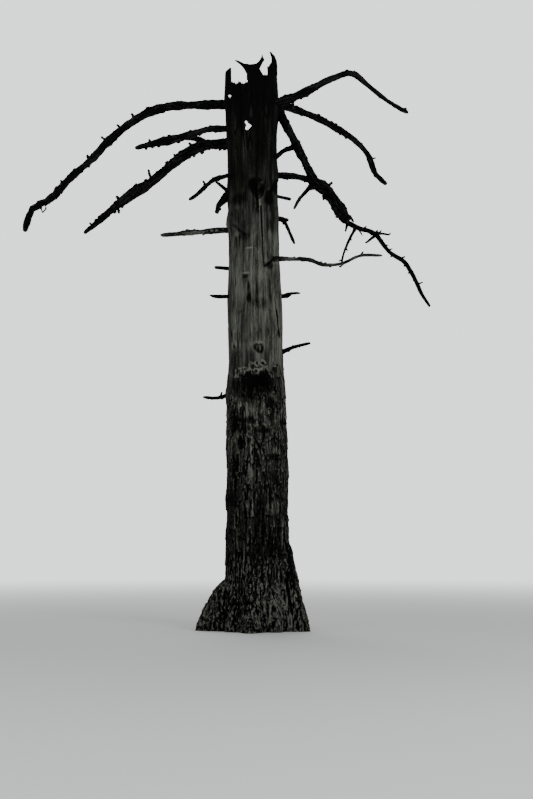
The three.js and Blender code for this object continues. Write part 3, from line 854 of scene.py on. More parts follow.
def seen_spur(line, pixels, wide):
    """A spur that falls on some pixels of the photograph, the first of them on the limb."""
    root = nearest_to(pixels[0], line.points)
    points = [root, *(np.array(point_at(pixel, root)) for pixel in pixels[1:])]
    if len(points) == 2:
        points.insert(1, points[0] * 0.45 + points[1] * 0.55)
    return tapering(points, wide, SPUR_TAPER)


def pinch_at(line, corners, pinches):
    """How far each corner of a limb is worn in where the photograph shows it thin."""
    deep = np.zeros(len(corners))
    for pixel, reach, most in pinches:
        far = np.linalg.norm(corners - point_at(pixel, nearest_to(pixel, line.points)), axis=1)
        near = np.clip(PINCH_EDGE - far / reach, 0, 1)
        deep = np.maximum(deep, most * near)
    return deep


print("spurs seen:", sum(len(spurs) for spurs in SEEN_SPURS.values()))

# %% Grow every limb
def limb_piece(name, nodes):
    """One limb as a carved mesh."""
    shape = copy_of(name + "_wood", nodes)
    corners = corners_of(shape)
    axis_near = np.array((0, 0, corners[:, 2].mean()))
    line = MiddleLine(corners, corners[corners[:, 2].argmax()] if name in HANGS_INWARD else axis_near)
    runs = [core_of(line, name in FORKED)]
    reach = chance.uniform(*SPUR_SPACING)
    while reach < line.reach[-1] - SPUR_END:
        runs.append(spur(line, reach))
        reach += chance.uniform(*SPUR_SPACING)
    runs += [seen_spur(line, pixels, wide / 1000) for pixels, wide in SEEN_SPURS.get(name, [])]
    whole = joined(name + "_wood", [shape, tubes(name + "_spurs", runs)])
    voxel = min(max(float(line.radii.mean()) * VOXEL_SHARE, FINER_VOXEL), COARSER_VOXEL)
    remeshed(whole, voxel)
    for outline in SEEN_GAPS.get(name, []):
        beside = nearest_to(outline[0], line.points)
        cut_away(whole, *([point_at(pixel, end) for pixel in outline]
                          for end in (beside - GAP_REACH, beside + GAP_REACH)))
        remeshed(whole, voxel)
    corners = corners_of(whole)
    places, radii = line.grain(corners)
    shift = [chance.random() * GRAIN_SHIFT for _ in range(3)]
    loss = pinch_at(line, corners, SEEN_PINCHES.get(name, [])) - GAINS.get(name, 0)
    store(whole, grain=places + shift, girth=radii, pinch=loss)
    carve(whole, limb_tree)
    is_grey = name.endswith("grey")
    whole.data.materials.append(branch_skin if is_grey else bough_skin)
    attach(whole, "root")
    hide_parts(*nodes)
    return whole


limb_faces = sum(len(limb_piece(name, nodes).data.polygons) for name, nodes in limbs.items())
print("limbs:", len(limbs), "faces:", limb_faces)

# %% [markdown]
# ## What the trunk wears
# Old bark hangs on the lower trunk. Its upper edge is ragged, and patches of it have dropped off. Both
# follow the rule that shaped the plain solid: waves round the trunk move the edge up and down, and seeded
# patches join the ones that the photograph shows. Each corner keeps its distance inside the bark's edge in
# metres, below nothing where the wood is bare.

# %% Say where the bark is
BARK_EDGE = 4.32
# waves round the trunk, and how far each moves the edge
BARK_RAGGED = [(2, 0.21), (4, 0.155), (10, 0.08)]
# bearing, height, half width and half height
SHED_SEEN = [
    (250, 3.56, 0.165, 0.24), (281, 3.37, 0.135, 0.22), (232, 3.05, 0.125, 0.3), (306, 2.74, 0.135, 0.33),
    (233, 4.08, 0.125, 0.2), (276, 2.18, 0.12, 0.3),
]
SHED_UNSEEN, SHED_SEED = 15, 5
SHED_RANGES = [(-35, 215), (1.1, 4.0), (0.110, 0.170), (0.190, 0.340)]
WASHED = (268, 3.95, 0.26, 0.42)


def seeded(seed):
    """The same chances in the same order as the plain solids'."""
    state = seed
    while True:
        state = (state * 1664525 + 1013904223) % 4294967296
        yield state / 4294967296


def spread(draws, ends):
    """The next chance, spread between two ends."""
    return ends[0] + (ends[1] - ends[0]) * next(draws)


def inside_bark(corners):
    """Distance inside the edge of the old bark, in metres."""
    across = corners[:, 0] - axis_at(corners[:, 2])
    turn, radius = np.arctan2(corners[:, 1], across), np.hypot(across, corners[:, 1])
    edge = BARK_EDGE - sum(reach * np.sin(waves * turn) for waves, reach in BARK_RAGGED)
    inside = edge - corners[:, 2]
    draws = seeded(SHED_SEED)
    unseen = [[spread(draws, ends) for ends in SHED_RANGES] for _ in range(SHED_UNSEEN)]
    for bearing, height, half_wide, half_high in [*SHED_SEEN, *unseen, WASHED]:
        gap = np.angle(np.exp(1j * (turn - math.radians(bearing)))) * radius
        far = np.hypot(gap / half_wide, (corners[:, 2] - height) / half_high)
        inside = np.minimum(inside, (far - 1) * half_wide)
    return inside


print("patches without bark:", len(SHED_SEEN) + SHED_UNSEEN)

# %% [markdown]
# Marks that the photograph shows on the trunk have places of their own: pale ledges and washed strips,
# dark stains, and long cracks. Some of them are painted light: painted shadows under the stubs, the bases
# of limbs and the ledges, and in the knot hollows and the pits of the arch, and painted highlights on the
# top of the knot and on the curls of the arch. A mark is a pixel with a half width and half height, a crack
# runs from one pixel to another, and both are laid on the front of the wood behind their pixels.

# %% Set the marks seen in the photograph
# pixel across, pixel down, half width and half height in mm, shade: above nothing is paler, below is darker
# the dark marks are partly stains and partly painted shadows, the pale ones partly washed wood and partly
# painted highlights
SEEN_MARKS = [
    (234, 138, 50, 550, 0.5), (244, 150, 30, 450, 0.4), (251, 109, 30, 150, 0.7), (264, 108, 50, 120, 0.7),
    (270, 140, 30, 500, 0.4), (276.5, 106, 30, 200, 0.7), (263, 100, 200, 120, -0.4),
    (257, 150, 40, 500, -0.5), (253, 186, 70, 120, -1.2), (262, 186, 50, 60, -0.4),
    (238.5, 199, 130, 100, -0.5), (269, 198, 70, 120, -0.8), (275, 187, 50, 130, -0.8),
    (260, 201.5, 18, 120, 0.7), (257, 206, 20, 120, -0.9), (270.5, 215.5, 30, 90, 0.3),
    (269.6, 234, 35, 100, 0.4), (258, 253, 50, 120, 0.3), (275.7, 262, 50, 40, 0.5),
    (237, 234, 40, 50, 0.35), (244, 236, 90, 70, -0.3), (249.7, 247.5, 70, 14, 0.8),
    (245.8, 272.7, 60, 16, 0.7), (245.5, 276, 50, 35, -0.4), (268, 265, 100, 60, -0.45),
    (260, 302.5, 130, 100, -0.3), (234, 307.7, 50, 140, -0.3), (234.9, 331, 35, 35, 0.4),
    (234.9, 343, 70, 50, 0.5), (236, 360, 90, 220, -0.5), (259.6, 342.5, 50, 22, 0.6),
    (259.9, 349, 62, 58, -0.75), (260, 349.4, 22, 20, 0.9), (279, 334, 30, 70, -0.4),
    (249, 382, 150, 130, -0.8), (260, 381, 140, 120, -0.8), (236, 386, 130, 160, -0.4),
    (268, 383, 120, 160, -0.45), (253, 394, 240, 130, -0.5), (256.8, 362.8, 20, 24, -1.1),
    (262.7, 363.3, 34, 16, -1), (249.7, 373.6, 22, 26, -1), (239.6, 375.2, 18, 24, -0.9),
    (257.2, 367.4, 28, 12, -0.9), (256.2, 371.4, 20, 18, -0.7), (265, 373, 80, 50, -0.4),
    (246, 375, 80, 40, -0.5), (233.4, 372, 20, 60, -0.4), (237.2, 371, 12, 50, -0.5),
    (272, 395, 50, 70, 0.35), (270.5, 403, 90, 90, -0.6), (241, 405, 60, 50, 0.4),
    (249, 411, 130, 90, 0.55), (234, 421, 70, 200, -0.7), (246, 419.5, 120, 45, -0.5),
    (260.5, 424.5, 120, 28, 0.7), (263, 430, 130, 50, -0.7), (250.5, 460, 35, 550, 0.5),
    (237.7, 434.7, 80, 60, 0.4), (240, 443, 50, 100, -0.8), (276, 450, 60, 60, 0.4),
    (275, 457, 130, 50, -0.7), (234, 465, 70, 160, -0.6), (252.5, 473, 30, 70, 0.5),
    (276, 507, 110, 120, 0.5), (270, 497, 25, 80, -1), (232, 500, 100, 140, -0.6), (283, 535, 35, 340, 0.7),
    (250.5, 530, 50, 360, 0.5), (260, 530, 80, 500, -0.4), (272, 548, 100, 160, -0.5),
    (290, 572, 50, 500, -0.8), (277, 600, 200, 280, 0.5), (240, 600, 240, 250, -0.3),
]
# strokes of curled wood in the arch over the lower knot hollow; CURL_MARK paints their points paler, partly
# the wood's own pale tone and partly painted highlights on the raised curls
ARCH_CURLS = [
    [(250.6, 362), (252.2, 363.2)], [(249, 364.4), (249.6, 367.4)], [(243.8, 371.8), (243.6, 374)],
    [(255, 362.6), (255.4, 365), (257.2, 366.2)], [(259, 363.2), (261, 364.4), (263, 366)],
    [(262.4, 360), (264.2, 360.9), (265.6, 362.8)], [(263.4, 368.2), (265, 367), (267.2, 366.3)],
    [(267.6, 368.8), (268.8, 370.8), (269.1, 373.4)], [(259.4, 369.8), (260.8, 368.6), (262.2, 369.2)],
    [(253.2, 370), (254.8, 368.4), (257.2, 368.5), (258.6, 370.6), (257.8, 373)],
    [(248, 369.8), (250.8, 369.2), (252, 370.8), (251.8, 373)], [(246.2, 367.4), (246.6, 370.2)],
    [(243.4, 367.4), (243.4, 370.4)], [(240.6, 368.6), (241.2, 371)], [(238.8, 368.4), (238.6, 374.6)],
    [(235.6, 370.4), (235.9, 375.6)], [(234.8, 377), (238.2, 376.7)], [(271, 374.6), (272.6, 376.4)],
]
CURL_MARK = (22, 22, 0.65)
# first pixel, last pixel, width and depth in mm: cracks, and lines of painted shadow under the bases of
# limbs, all carved in and painted darker
SEEN_CRACKS_AND_SHADOWS = [
    ((261, 206), (262.6, 236), 16, 18), ((262.6, 236), (263.5, 262), 12, 11),
    ((233, 224.6), (244.5, 234.5), 26, 6), ((275, 258.5), (266, 265.5), 22, 10),
    ((278, 181), (270.5, 192), 24, 20), ((256, 192), (258.5, 207), 18, 20),
    ((257, 470), (256.4, 483), 16, 22), ((270, 492), (270.6, 508), 18, 26),
    ((247.8, 485), (247, 499), 16, 22), ((235, 475), (235.6, 491), 18, 22),
    ((240, 436), (241.2, 448), 20, 22), ((237, 455), (237.8, 471), 18, 22),
    ((254.2, 449), (254.6, 461), 14, 20), ((285.8, 580), (292, 614), 22, 30),
    ((239, 553), (238, 562), 20, 26), ((263, 512), (263.4, 545), 16, 20),
]
FRONT_FROM, FRONT_TO = 0.12, -0.08
MARK_EDGE, MARK_FADE = 1.5, 1.1


def marks_on(corners):
    """How much paler or darker the marks make each corner, and how deep its cracks are."""
    front = np.clip((FRONT_FROM - corners[:, 1]) / (FRONT_FROM - FRONT_TO), 0, 1)
    shade, depth = np.zeros(len(corners)), np.zeros(len(corners))
    curl_marks = [(*pixel, *CURL_MARK) for stroke in ARCH_CURLS for pixel in stroke]
    # the marks paint stains and washed strips, and also painted shadows and painted highlights
    for across, down, half_wide, half_high, strength in SEEN_MARKS + curl_marks:
        gap = (corners - trunk_spot((across, down))) / (half_wide / 1000, 1, half_high / 1000)
        near = np.clip((MARK_EDGE - np.hypot(gap[:, 0], gap[:, 2])) / MARK_FADE, 0, 1)
        shade += strength * near * near * (3 - 2 * near)
    # each line both carves the wood and darkens it: painted shade in the cracks and painted shadow under
    # the limb bases
    for first, last, wide, deep in SEEN_CRACKS_AND_SHADOWS:
        start, end = trunk_spot(first)[::2], trunk_spot(last)[::2]
        along = end - start
        share = np.clip((corners[:, ::2] - start) @ along / (along @ along), 0, 1)
        gap = np.linalg.norm(corners[:, ::2] - start - share[:, None] * along, axis=1)
        depth = np.maximum(depth, deep / 1000 * np.clip(MARK_EDGE - gap / (wide / 1000), 0, 1))
    return shade * front, depth * front


print("marks:", len(SEEN_MARKS), "cracks:", len(SEEN_CRACKS_AND_SHADOWS))

# %% [markdown]
# ## The trunk's relief
# Old bark stands in tall slabs between furrows. Down each column of it the slabs get thicker and end in a
# torn ledge, and here and there one has rotted to a deep notch. Bare wood is smoother: shallow ribs and
# fibres, long checks, and thin peels. The dark top is rough and blocky, and litter and moss make the foot
# stringy. A spot near the broken rim is softened less, so that its shards stay sharp.

# %% Shape the trunk's relief
FURROW, NOTCH, SLAB, GRIT = 0.019, 0.030, 0.012, 0.020
SHED_STEP = 0.007
BARK_TORN, BARK_LIP, CUT_SHADE = 0.28, (-0.006, 0.008), 32.0
RIB, WOOD_FIBRE, CHECK, PEEL = 0.014, 0.006, 0.016, 0.004
CHAR, LITTER = 0.022, 0.044
RIM_SHARP_FROM, RIM_SHARP_TO = 9.45, 9.75
LITTER_TOP, LITTER_FADE = 0.9, 1.55
CHARRED_FROM, CHARRED_TO = 8.2, 9.0


def trunk_relief(tree):
    """Height, painted shade depth of cracks, furrows, notches and ledges, and softening of the trunk's
    skin.
    """
    place, inside, cut = stored(tree, "grain", "FLOAT_VECTOR"), stored(tree, "bark"), stored(tree, "cut")
    height = part_of(place, 2)
    bent = wander(drawn_out(place, 0.45), 4.5, (0.05, 0.05, 0.05))
    torn = (streaky(place, 0.5, 8.0, 4.0, 0.6) - 0.5) * BARK_TORN
    bark = step(inside + torn, *BARK_LIP)

    furrows = step(streaky(bent, 0.30, 21.0, 3.0, 0.6), 0.50, 0.38)
    notches = step(streaky(bent, 0.6, 13.0, 2.0), 0.37, 0.32)
    column = cell_values(drawn_out(bent, 0.16), 12.0)
    fall = fraction(column * 5.0 + height * 2.2 + noise(place, 9.0, 3.0) * 0.6)
    ledge = (1 - fall) * (1 - fall)
    gritty = streaky(bent, 0.55, 34.0, 4.0, 0.7) - 0.5
    old = ledge * SLAB - furrows * FURROW - notches * NOTCH + gritty * GRIT
    # painted shadow under each slab's torn ledge, carried into the depth that darkens the colour
    ledge_shadow = step(fall, 0.80, 1.0)

    ribs = streaky(bent, 0.26, 11.0, 2.0) - 0.5
    fibres = streaky(bent, 0.18, 38.0, 3.0, 0.6) - 0.5
    is_open = step(noise(place, 1.6), 0.44, 0.56)
    checks = cracks(drawn_out(bent, 0.20), 6.5, 0.030) * is_open
    peels = step(streaky(bent, 0.8, 6.0, 4.0), 0.50, 0.515)
    bare = ribs * RIB + fibres * WOOD_FIBRE - checks * CHECK + peels * PEEL

    dark_top = step(height, CHARRED_FROM, CHARRED_TO)
    blocks = streaky(bent, 0.9, 20.0, 3.0, 0.6) - 0.5
    foot = step(height + noise(place, 4.0) * 0.7, LITTER_FADE, LITTER_TOP)
    litter = streaky(bent, 1.1, 34.0, 4.0, 0.7) - 0.5
    marked = cut * (0.55 + noise(place, 26.0, 2.0) * 0.9)
    worn = bark * old + (1 - bark) * (bare - SHED_STEP)
    total = worn + dark_top * blocks * CHAR + foot * litter * LITTER
    # the depth only darkens the colour: painted shade in furrows, notches, checks and cracks and under the
    # ledges
    shaded = highest(furrows * 0.75, notches, ledge_shadow * 0.8) * bark
    depth = highest(shaded, checks * (1 - bark), cut * CUT_SHADE)
    sharp = step(height, RIM_SHARP_FROM, RIM_SHARP_TO)
    return total * (1 - sharp * 0.6) - marked, depth, 1 - sharp


trunk_tree = carving("trunk relief", trunk_relief, 8)
print("trunk relief nodes:", len(trunk_tree.nodes))

# %% [markdown]
# The trunk's tone changes with height. Its top is near black, partly painted shade that darkens it
# towards the top, it pales to silver between four and seven and a half metres, where the weather has washed
# it, and the bark below is dark again, with its ridges painted paler as painted highlights.

# %% Finish the trunk
BARK_BLACK, SILVER = (0.0016, 0.0016, 0.0015, 1), (0.130, 0.134, 0.112, 1)
# height, and tone there; the falling tone above seven metres is partly painted shade
ZONES = [
    (0, 0.6), (0.7, 0.6), (1.3, 0.38), (2.2, 0.38), (2.9, 0.48), (3.8, 0.5), (4.3, 0.5), (4.8, 0.58),
    (6.2, 0.6), (6.9, 0.52), (7.5, 0.4), (8.2, 0.27), (8.9, 0.22), (9.5, 0.16), (10, 0.1), (10.4, 0.06),
]
ZONE_DRIFT = 0.8
# heights between which specks grow, and how strong they get
SPECKLED = [((4.8, 3.4), 0.9), ((7.6, 9.0), 0.4), ((1.5, 0.8), 1.1)]


def trunk_tone(place, depth, proud, mark):
    """From painted shade in the cracks and a near black top, partly painted shade, to pale on the washed
    middle.
    """
    height = part_of(place, 2)
    # the height ramp: the wood's own tone, darkening towards the top partly as painted shade
    zone = ramp(height + (streaky(place, 0.5, 2.0, 3.0) - 0.5) * ZONE_DRIFT, ZONES)
    bent = wander(drawn_out(place, 0.3), 4.0, (0.05, 0.05, 0.05))
    streaks = step(streaky(bent, 0.2, 20.0, 3.0, 0.6), 0.30, 0.70) - 0.5
    fine = streaky(bent, 0.15, 80.0, 2.0) - 0.5
    blots = step(streaky(bent, 1.2, 5.0, 4.0, 0.6), 0.34, 0.66) - 0.5
    specks = step(streaky(bent, 1.3, 34.0, 4.0, 0.7), 0.50, 0.66) - 0.3
    rough = sum(step(height, *ends) * share for ends, share in SPECKLED)
    ragged = mark * (0.2 + streaky(bent, 0.35, 30.0, 3.0, 0.6) * 1.6)
    # mark brings the trunk's marks, among them painted shadows and highlights; proud paints ridges paler as
    # painted highlights
    texture = 1 + streaks * 0.5 + fine * 0.5 + blots * 0.4 + specks * rough + proud + ragged
    # depth darkens the cracks, furrows and ledges: painted shade
    return zone * texture * (1 - depth * 0.75)


def trunk_bump(place):
    """Fine fibres and grit."""
    fibres = streaky(place, 0.06, 150.0, 3.0, 0.6)
    grit = streaky(place, 0.5, 90.0, 3.0, 0.6)
    return fibres * 0.9 + grit * 0.5 + streaky(place, 0.10, 45.0, 2.0) * 0.8


trunk_skin = wood("weathered_trunk", trunk_tone, BARK_BLACK, SILVER, trunk_bump, 0.9)
print("trunk finish:", len(trunk_skin.node_tree.nodes), "nodes")

# %% [markdown]
# ## The trunk
# The trunk is one hollow shell. Small forms that the plain solid leaves out are tubes sunk into it: curled
# lumps in the arch over the lower knot hollow, strands that hang out of the hollow onto its lip, a column
# of shelves lower down, and the thin tips of the rim's shards. Where the photograph shows sky between the
# shards and through the holes, an outline is cut through both walls. The walls behind the front, which it
# doesn't show, are torn down along a ragged line. The long mesh is made in seven lengths, each a little
# longer than it has to be, remeshed and carved, and then cut square where they meet.

# %% List the small forms on the trunk
CURL_WIDE, CURL_TAPER, CURL_SUNK = (0.020, 0.044), (0.8, 1, 0.6), -0.004
SHELVES = [(249.4, 519), (250.6, 524), (250.2, 529), (250.6, 534), (250.2, 539), (251.8, 545), (250.6, 550)]
SHELF_SPAN, SHELF_WIDE, SHELF_TAPER, JUST_SUNK = 0.055, 0.040, (0.5, 1, 0.6), 0.004
LIP, FIBRES_TOP, FIBRES_LOW = 399, (382, 388), (393, 399)
FIBRES_ACROSS = np.arange(240.6, 268, 1.55)
FIBRE_DEEP, FIBRE_WIDE, FIBRE_TAPER, FIBRE_ASIDE = 0.10, (0.030, 0.046), (0.6, 1, 0.8), (-0.6, 0.6)
KNOT, KNOT_WIDE, KNOT_DEEP, KNOT_PROUD = (260, 349.2), 0.05, 0.05, -0.03
# pixels from the tip down with radii in mm, and the pixel of the wall that the shard stands on
SHARDS = [
    ([(234.9, 60, 12), (237.2, 61.2, 20), (240, 62.8, 28), (243.4, 65, 36), (247, 68.4, 55)], (246.4, 69)),
    ([(262.1, 54.4, 10), (262.2, 57, 20), (261.9, 59.6, 36), (260.4, 62.6, 44), (257, 67, 60)], (256, 69)),
    ([(264.3, 59.2, 20), (261.8, 60, 28)], (256, 69)),
    ([(242.6, 65.4, 30), (246.6, 65.3, 34), (250.4, 65.9, 34), (254.4, 65.8, 34), (258.4, 64.6, 36)],
     (250, 70)),
    ([(269.5, 51.6, 13), (271.5, 53.8, 23), (273.4, 56.8, 34), (274.6, 61, 44), (275.1, 66, 48),
     (275.3, 76, 46)], (273.6, 64)),
    ([(273.6, 58.6, 30), (272.8, 63, 38), (271.4, 67, 58), (271, 77, 70)], (271.6, 76)),
    ([(267.5, 66.2, 14), (268.6, 70, 26), (269.6, 77, 40)], (269.4, 78)),
    ([(245.8, 67, 35), (247.8, 72, 30), (248.4, 80, 35)], (248, 73)),
    ([(230.4, 67.8, 13), (228.8, 70.8, 42), (228.6, 82, 48)], (228.6, 76)),
    ([(230.2, 203, 20), (229.6, 210, 38), (229, 217, 50), (228.2, 224, 56), (228.8, 230, 48),
     (230, 238, 20)], (231.5, 222)),
]
SHARD_SUNK, TIP_SPARE = 0.045, 0.004
# outlines of sky through both walls
SKIES = [
    [(236.2, 62), (238.8, 63.6), (240.6, 65), (242.6, 67.2), (244.8, 70.4), (246.2, 74.4), (246.8, 79),
     (246.2, 80.8), (244, 82), (242.6, 80), (241, 81.6), (239, 79.4), (237.4, 81.2), (235.4, 78.8),
     (234, 80.6), (232.4, 79), (232.2, 66), (232.2, 58), (235, 59)],
    [(263, 48), (263.2, 54), (264.4, 57), (265.9, 59.4), (264.6, 61.2), (261.4, 63.2), (260.2, 66),
     (260.6, 69.4), (262.2, 71.8), (263.4, 73), (266.2, 72.4), (267, 70.6), (267, 66), (269, 65.6),
     (270.2, 63.4), (271.2, 61), (271.5, 58.4), (270.6, 55.8), (269.4, 53.4), (268.6, 48)],
    [(227.4, 96.6), (228.4, 95.2), (229.8, 94.8), (231.2, 95.4), (232.3, 96.8), (231.6, 98.2),
     (229.8, 98.6), (228.2, 98)],
    [(246.1, 120.2), (246.9, 121.6), (247.9, 123.7), (250.6, 124.8), (251.8, 125.8), (249.9, 127.1),
     (247.7, 129.9), (245.5, 129.9), (245.2, 128.3), (246.6, 125.8), (246.7, 124.4), (244.9, 122.3),
     (245.4, 121)],
]
# the plain solid's wider hole there is plugged first: outline, a pixel of the wall, and how deep it lies
PLUG = [(242.6, 118), (246, 116.8), (250, 117.8), (254.4, 121.6), (256, 125.6), (254.6, 130), (249, 134),
        (244.6, 133.4), (242.4, 128), (242, 122)]
PLUG_WALL, PLUG_SUNK = (257, 124), (0.006, 0.050)
SKY_NEAR, SKY_FAR = (0, -0.9, 9.9), (0, 0.9, 9.9)
# the torn line of the walls behind the front, from the front back: distance back and height in metres
TORN = [
    ((-1, -0.1), [(-0.11, 10.7), (-0.1, 10.12), (-0.08, 9.98), (-0.05, 10.06), (-0.015, 9.87), (0.02, 9.96),
     (0.06, 9.8), (0.1, 9.9), (0.15, 9.99), (0.19, 9.83), (0.24, 9.92), (0.29, 9.76), (0.34, 9.85),
     (0.39, 9.7), (0.7, 9.74), (0.7, 10.7)]),
    ((-0.1, 1), [(-0.15, 10.7), (-0.13, 10.24), (-0.105, 10.3), (-0.075, 10.12), (-0.04, 10.19),
     (-0.01, 10.01), (0.03, 10.09), (0.06, 9.92), (0.095, 9.99), (0.14, 9.85), (0.18, 9.96), (0.22, 9.82),
     (0.27, 9.97), (0.31, 9.84), (0.36, 9.92), (0.41, 9.76), (0.7, 9.8), (0.7, 10.7)]),
]


def front_of(across, down, depth):
    """The point behind a pixel that is a distance back from the front."""
    way = point_at((across, down), TRUNK_AIM) - EYE
    return np.array(EYE + way * ((depth - EYE.y) / way.y))


def below_top(point, radius):
    """A point, moved towards the camera where the box of the frame is too low for it."""
    share = (cad_box[1].z - TIP_SPARE - radius - EYE.z) / (point.z - EYE.z)
    return np.array(EYE + (point - EYE) * min(1, share))


def fibre(across):
    """A strand of wood that comes out of the knot hollow and ends on its lip."""
    lip = trunk_spot((across, LIP))[1]
    top = front_of(across + chance.uniform(*FIBRE_ASIDE), chance.uniform(*FIBRES_TOP), lip + FIBRE_DEEP)
    low = front_of(across, chance.uniform(*FIBRES_LOW), lip + JUST_SUNK)
    return tapering([top, low + (0, 0, 0.02), low], chance.uniform(*FIBRE_WIDE), FIBRE_TAPER)


def curl(stroke):
    """A lump of curled wood along a stroke of pixels."""
    spots = [trunk_spot(pixel, CURL_SUNK) for pixel in stroke]
    return tapering(spots, chance.uniform(*CURL_WIDE), CURL_TAPER)


forms = [curl(stroke) for stroke in ARCH_CURLS] + [fibre(across) for across in FIBRES_ACROSS]
for pixel in SHELVES:
    middle = trunk_spot(pixel, JUST_SUNK)
    sides = [middle + (side * SHELF_SPAN, abs(side) * 0.02, side * 0.01) for side in (-1, 0, 1)]
    forms.append(tapering(sides, SHELF_WIDE, SHELF_TAPER))
forms.append(tapering([trunk_spot(KNOT, sunk) for sunk in (KNOT_DEEP, KNOT_PROUD)], KNOT_WIDE, (1, 0.8)))
for places, stands_on in SHARDS:
    wall = trunk_spot(stands_on, SHARD_SUNK)
    forms.append([(below_top(point_at(pixel, wall), radius / 1000), radius / 1000)
                  for *pixel, radius in places])
print("small forms:", len(forms))

# %% Cut a mesh across
def cut_across(piece, low, high):
    """Keeps the length of a mesh between two heights, closed and with a crisp edge at each cut."""
    for height, drop_below in ((low, True), (high, False)):
        heights = corners_of(piece)[:, 2]
        if heights.min() < height < heights.max():
            edited(piece, bpy.ops.mesh.bisect, plane_co=(0, 0, height), plane_no=(0, 0, 1), use_fill=True,
                   clear_inner=drop_below, clear_outer=not drop_below)
            edges = piece.data.edges
            ends = corners_of(piece)[rows_of(edges, "vertices", np.int32, 2), 2]
            on_cut = np.abs(ends - height).max(1) < SAME_SPOT
            edges.foreach_set("use_edge_sharp", rows_of(edges, "use_edge_sharp", bool)[:, 0] | on_cut)
    return piece


print("cuts ready")

# %% Splinter the rim
SPLINTERS_FROM, SPLINTERS_TO, SPLINTERS_BEHIND = 9.5, 10.02, -0.10
SPLINTER_SPACING, SPLINTER_SUNK, SPLINTER_SPARE = 0.042, 0.04, 0.01
SPLINTER_HEIGHT, SPLINTER_SHORTEST, SPLINTER_ASIDE = (0.015, 0.055), 0.004, (-0.3, 0.3)
SPLINTER_WIDE, SPLINTER_TAPER = (0.014, 0.026), (1.4, 1, 0.25)
FACES_UP = 0.7


def splinters_on(piece):
    """Small teeth of wood along the edges of the rim that face up."""
    corners = corners_of(piece)
    facing = rows_of(piece.data.vertex_normals, "vector", width=3)
    height, is_behind = corners[:, 2], corners[:, 1] > SPLINTERS_BEHIND
    in_reach = (height > SPLINTERS_FROM) & ((height < SPLINTERS_TO) | is_behind)
    upward = np.flatnonzero(in_reach & (facing[:, 2] > FACES_UP)).tolist()
    chance.shuffle(upward)
    taken, runs = [], []
    for index in upward:
        spot = corners[index]
        if all(np.linalg.norm(spot - other) > SPLINTER_SPACING for other in taken):
            taken.append(spot)
            tall = min(chance.uniform(*SPLINTER_HEIGHT), cad_box[1].z - SPLINTER_SPARE - spot[2])
            aside = [chance.uniform(*SPLINTER_ASIDE) for _ in range(2)]
            lean = np.array((*aside, 1.0)) * max(tall, SPLINTER_SHORTEST)
            run = [spot - (0, 0, SPLINTER_SUNK), spot + lean * 0.3, spot + lean]
            runs.append(tapering(run, chance.uniform(*SPLINTER_WIDE), SPLINTER_TAPER))
    return tubes("splinters", runs, 0)


print("splinters ready")

# %% Make the trunk's lengths
# name, lowest and highest height, and voxel, in metres
LENGTHS = [
    ("trunk_foot", 0.001, 1.75, 0.0125), ("trunk_lower", 1.75, 3.95, 0.0108),
    ("trunk_knot", 3.95, 4.75, 0.0072), ("trunk_upper", 4.75, 7, 0.0108), ("trunk_top", 7, 8.55, 0.0108),
    ("trunk_crown", 8.55, 9.4, 0.0092), ("trunk_rim", 9.4, 11, 0.0086),
]
OPEN_FROM, SPARE, ROOTED = 8.5, 0.12, 0.06


def trunk_length(name, low, high, voxel):
    """One length of the trunk, remeshed and carved."""
    shell = copy_of(name, ["trunk"])
    corners = corners_of(shell)
    corners[corners[:, 2] < SAME_SPOT, 2] -= ROOTED
    move_corners(shell, corners)
    cut_across(shell, low - SPARE, high + SPARE)
    if name == "trunk_crown":
        plug = ([point_at(pixel, trunk_spot(PLUG_WALL, sunk)) for pixel in PLUG] for sunk in PLUG_SUNK)
        cut_away(shell, *plug, "UNION")
    if low > OPEN_FROM:
        for pixels in SKIES:
            cut_away(shell, *([point_at(pixel, wall) for pixel in pixels] for wall in (SKY_NEAR, SKY_FAR)))
        for sides, line in TORN:
            cut_away(shell, *([(side, *place) for place in line] for side in sides))
    nearby = [run for run in forms if low - SPARE < run[0][0][2] < high + SPARE]
    whole = joined(name, [shell, tubes("forms", nearby, 2)]) if nearby else shell
    remeshed(whole, voxel)
    corners = corners_of(whole)
    shade, cut = marks_on(corners)
    store(whole, bark=inside_bark(corners), mark=shade, cut=cut)
    corners[:, 0] -= axis_at(corners[:, 2])
    store(whole, grain=corners)
    carve(whole, trunk_tree)
    return whole


for name, low, high, voxel in LENGTHS:
    whole = trunk_length(name, low, high, voxel)
    if name == "trunk_rim":
        teeth = splinters_on(whole)
        store(teeth, grain=corners_of(teeth))
        whole = joined(name, [whole, teeth])
    cut_across(whole, low, high)
    whole.data.materials.clear()
    whole.data.materials.append(trunk_skin)
    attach(whole, "root")
    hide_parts("trunk")
    print(name, "faces:", len(whole.data.polygons))

# %% [markdown]
# ## The twigs
# The heavy bough on the right ends in a mass of bare twigs. It grows by the rule that made its plain
# solid: a crooked stem, with side twigs that leave it on alternate sides and droop a little. The same
# seed gives the same twigs in the same places, and here each side twig goes on to carry finer ones.

# %% Follow a curve through points
SPRAY_ROOT = (1.6320, -0.2052, 7.1852)
STEM_TAPER = (0.088, 0.070, 0.076, 0.060, 0.068, 0.064, 0.058, 0.034)
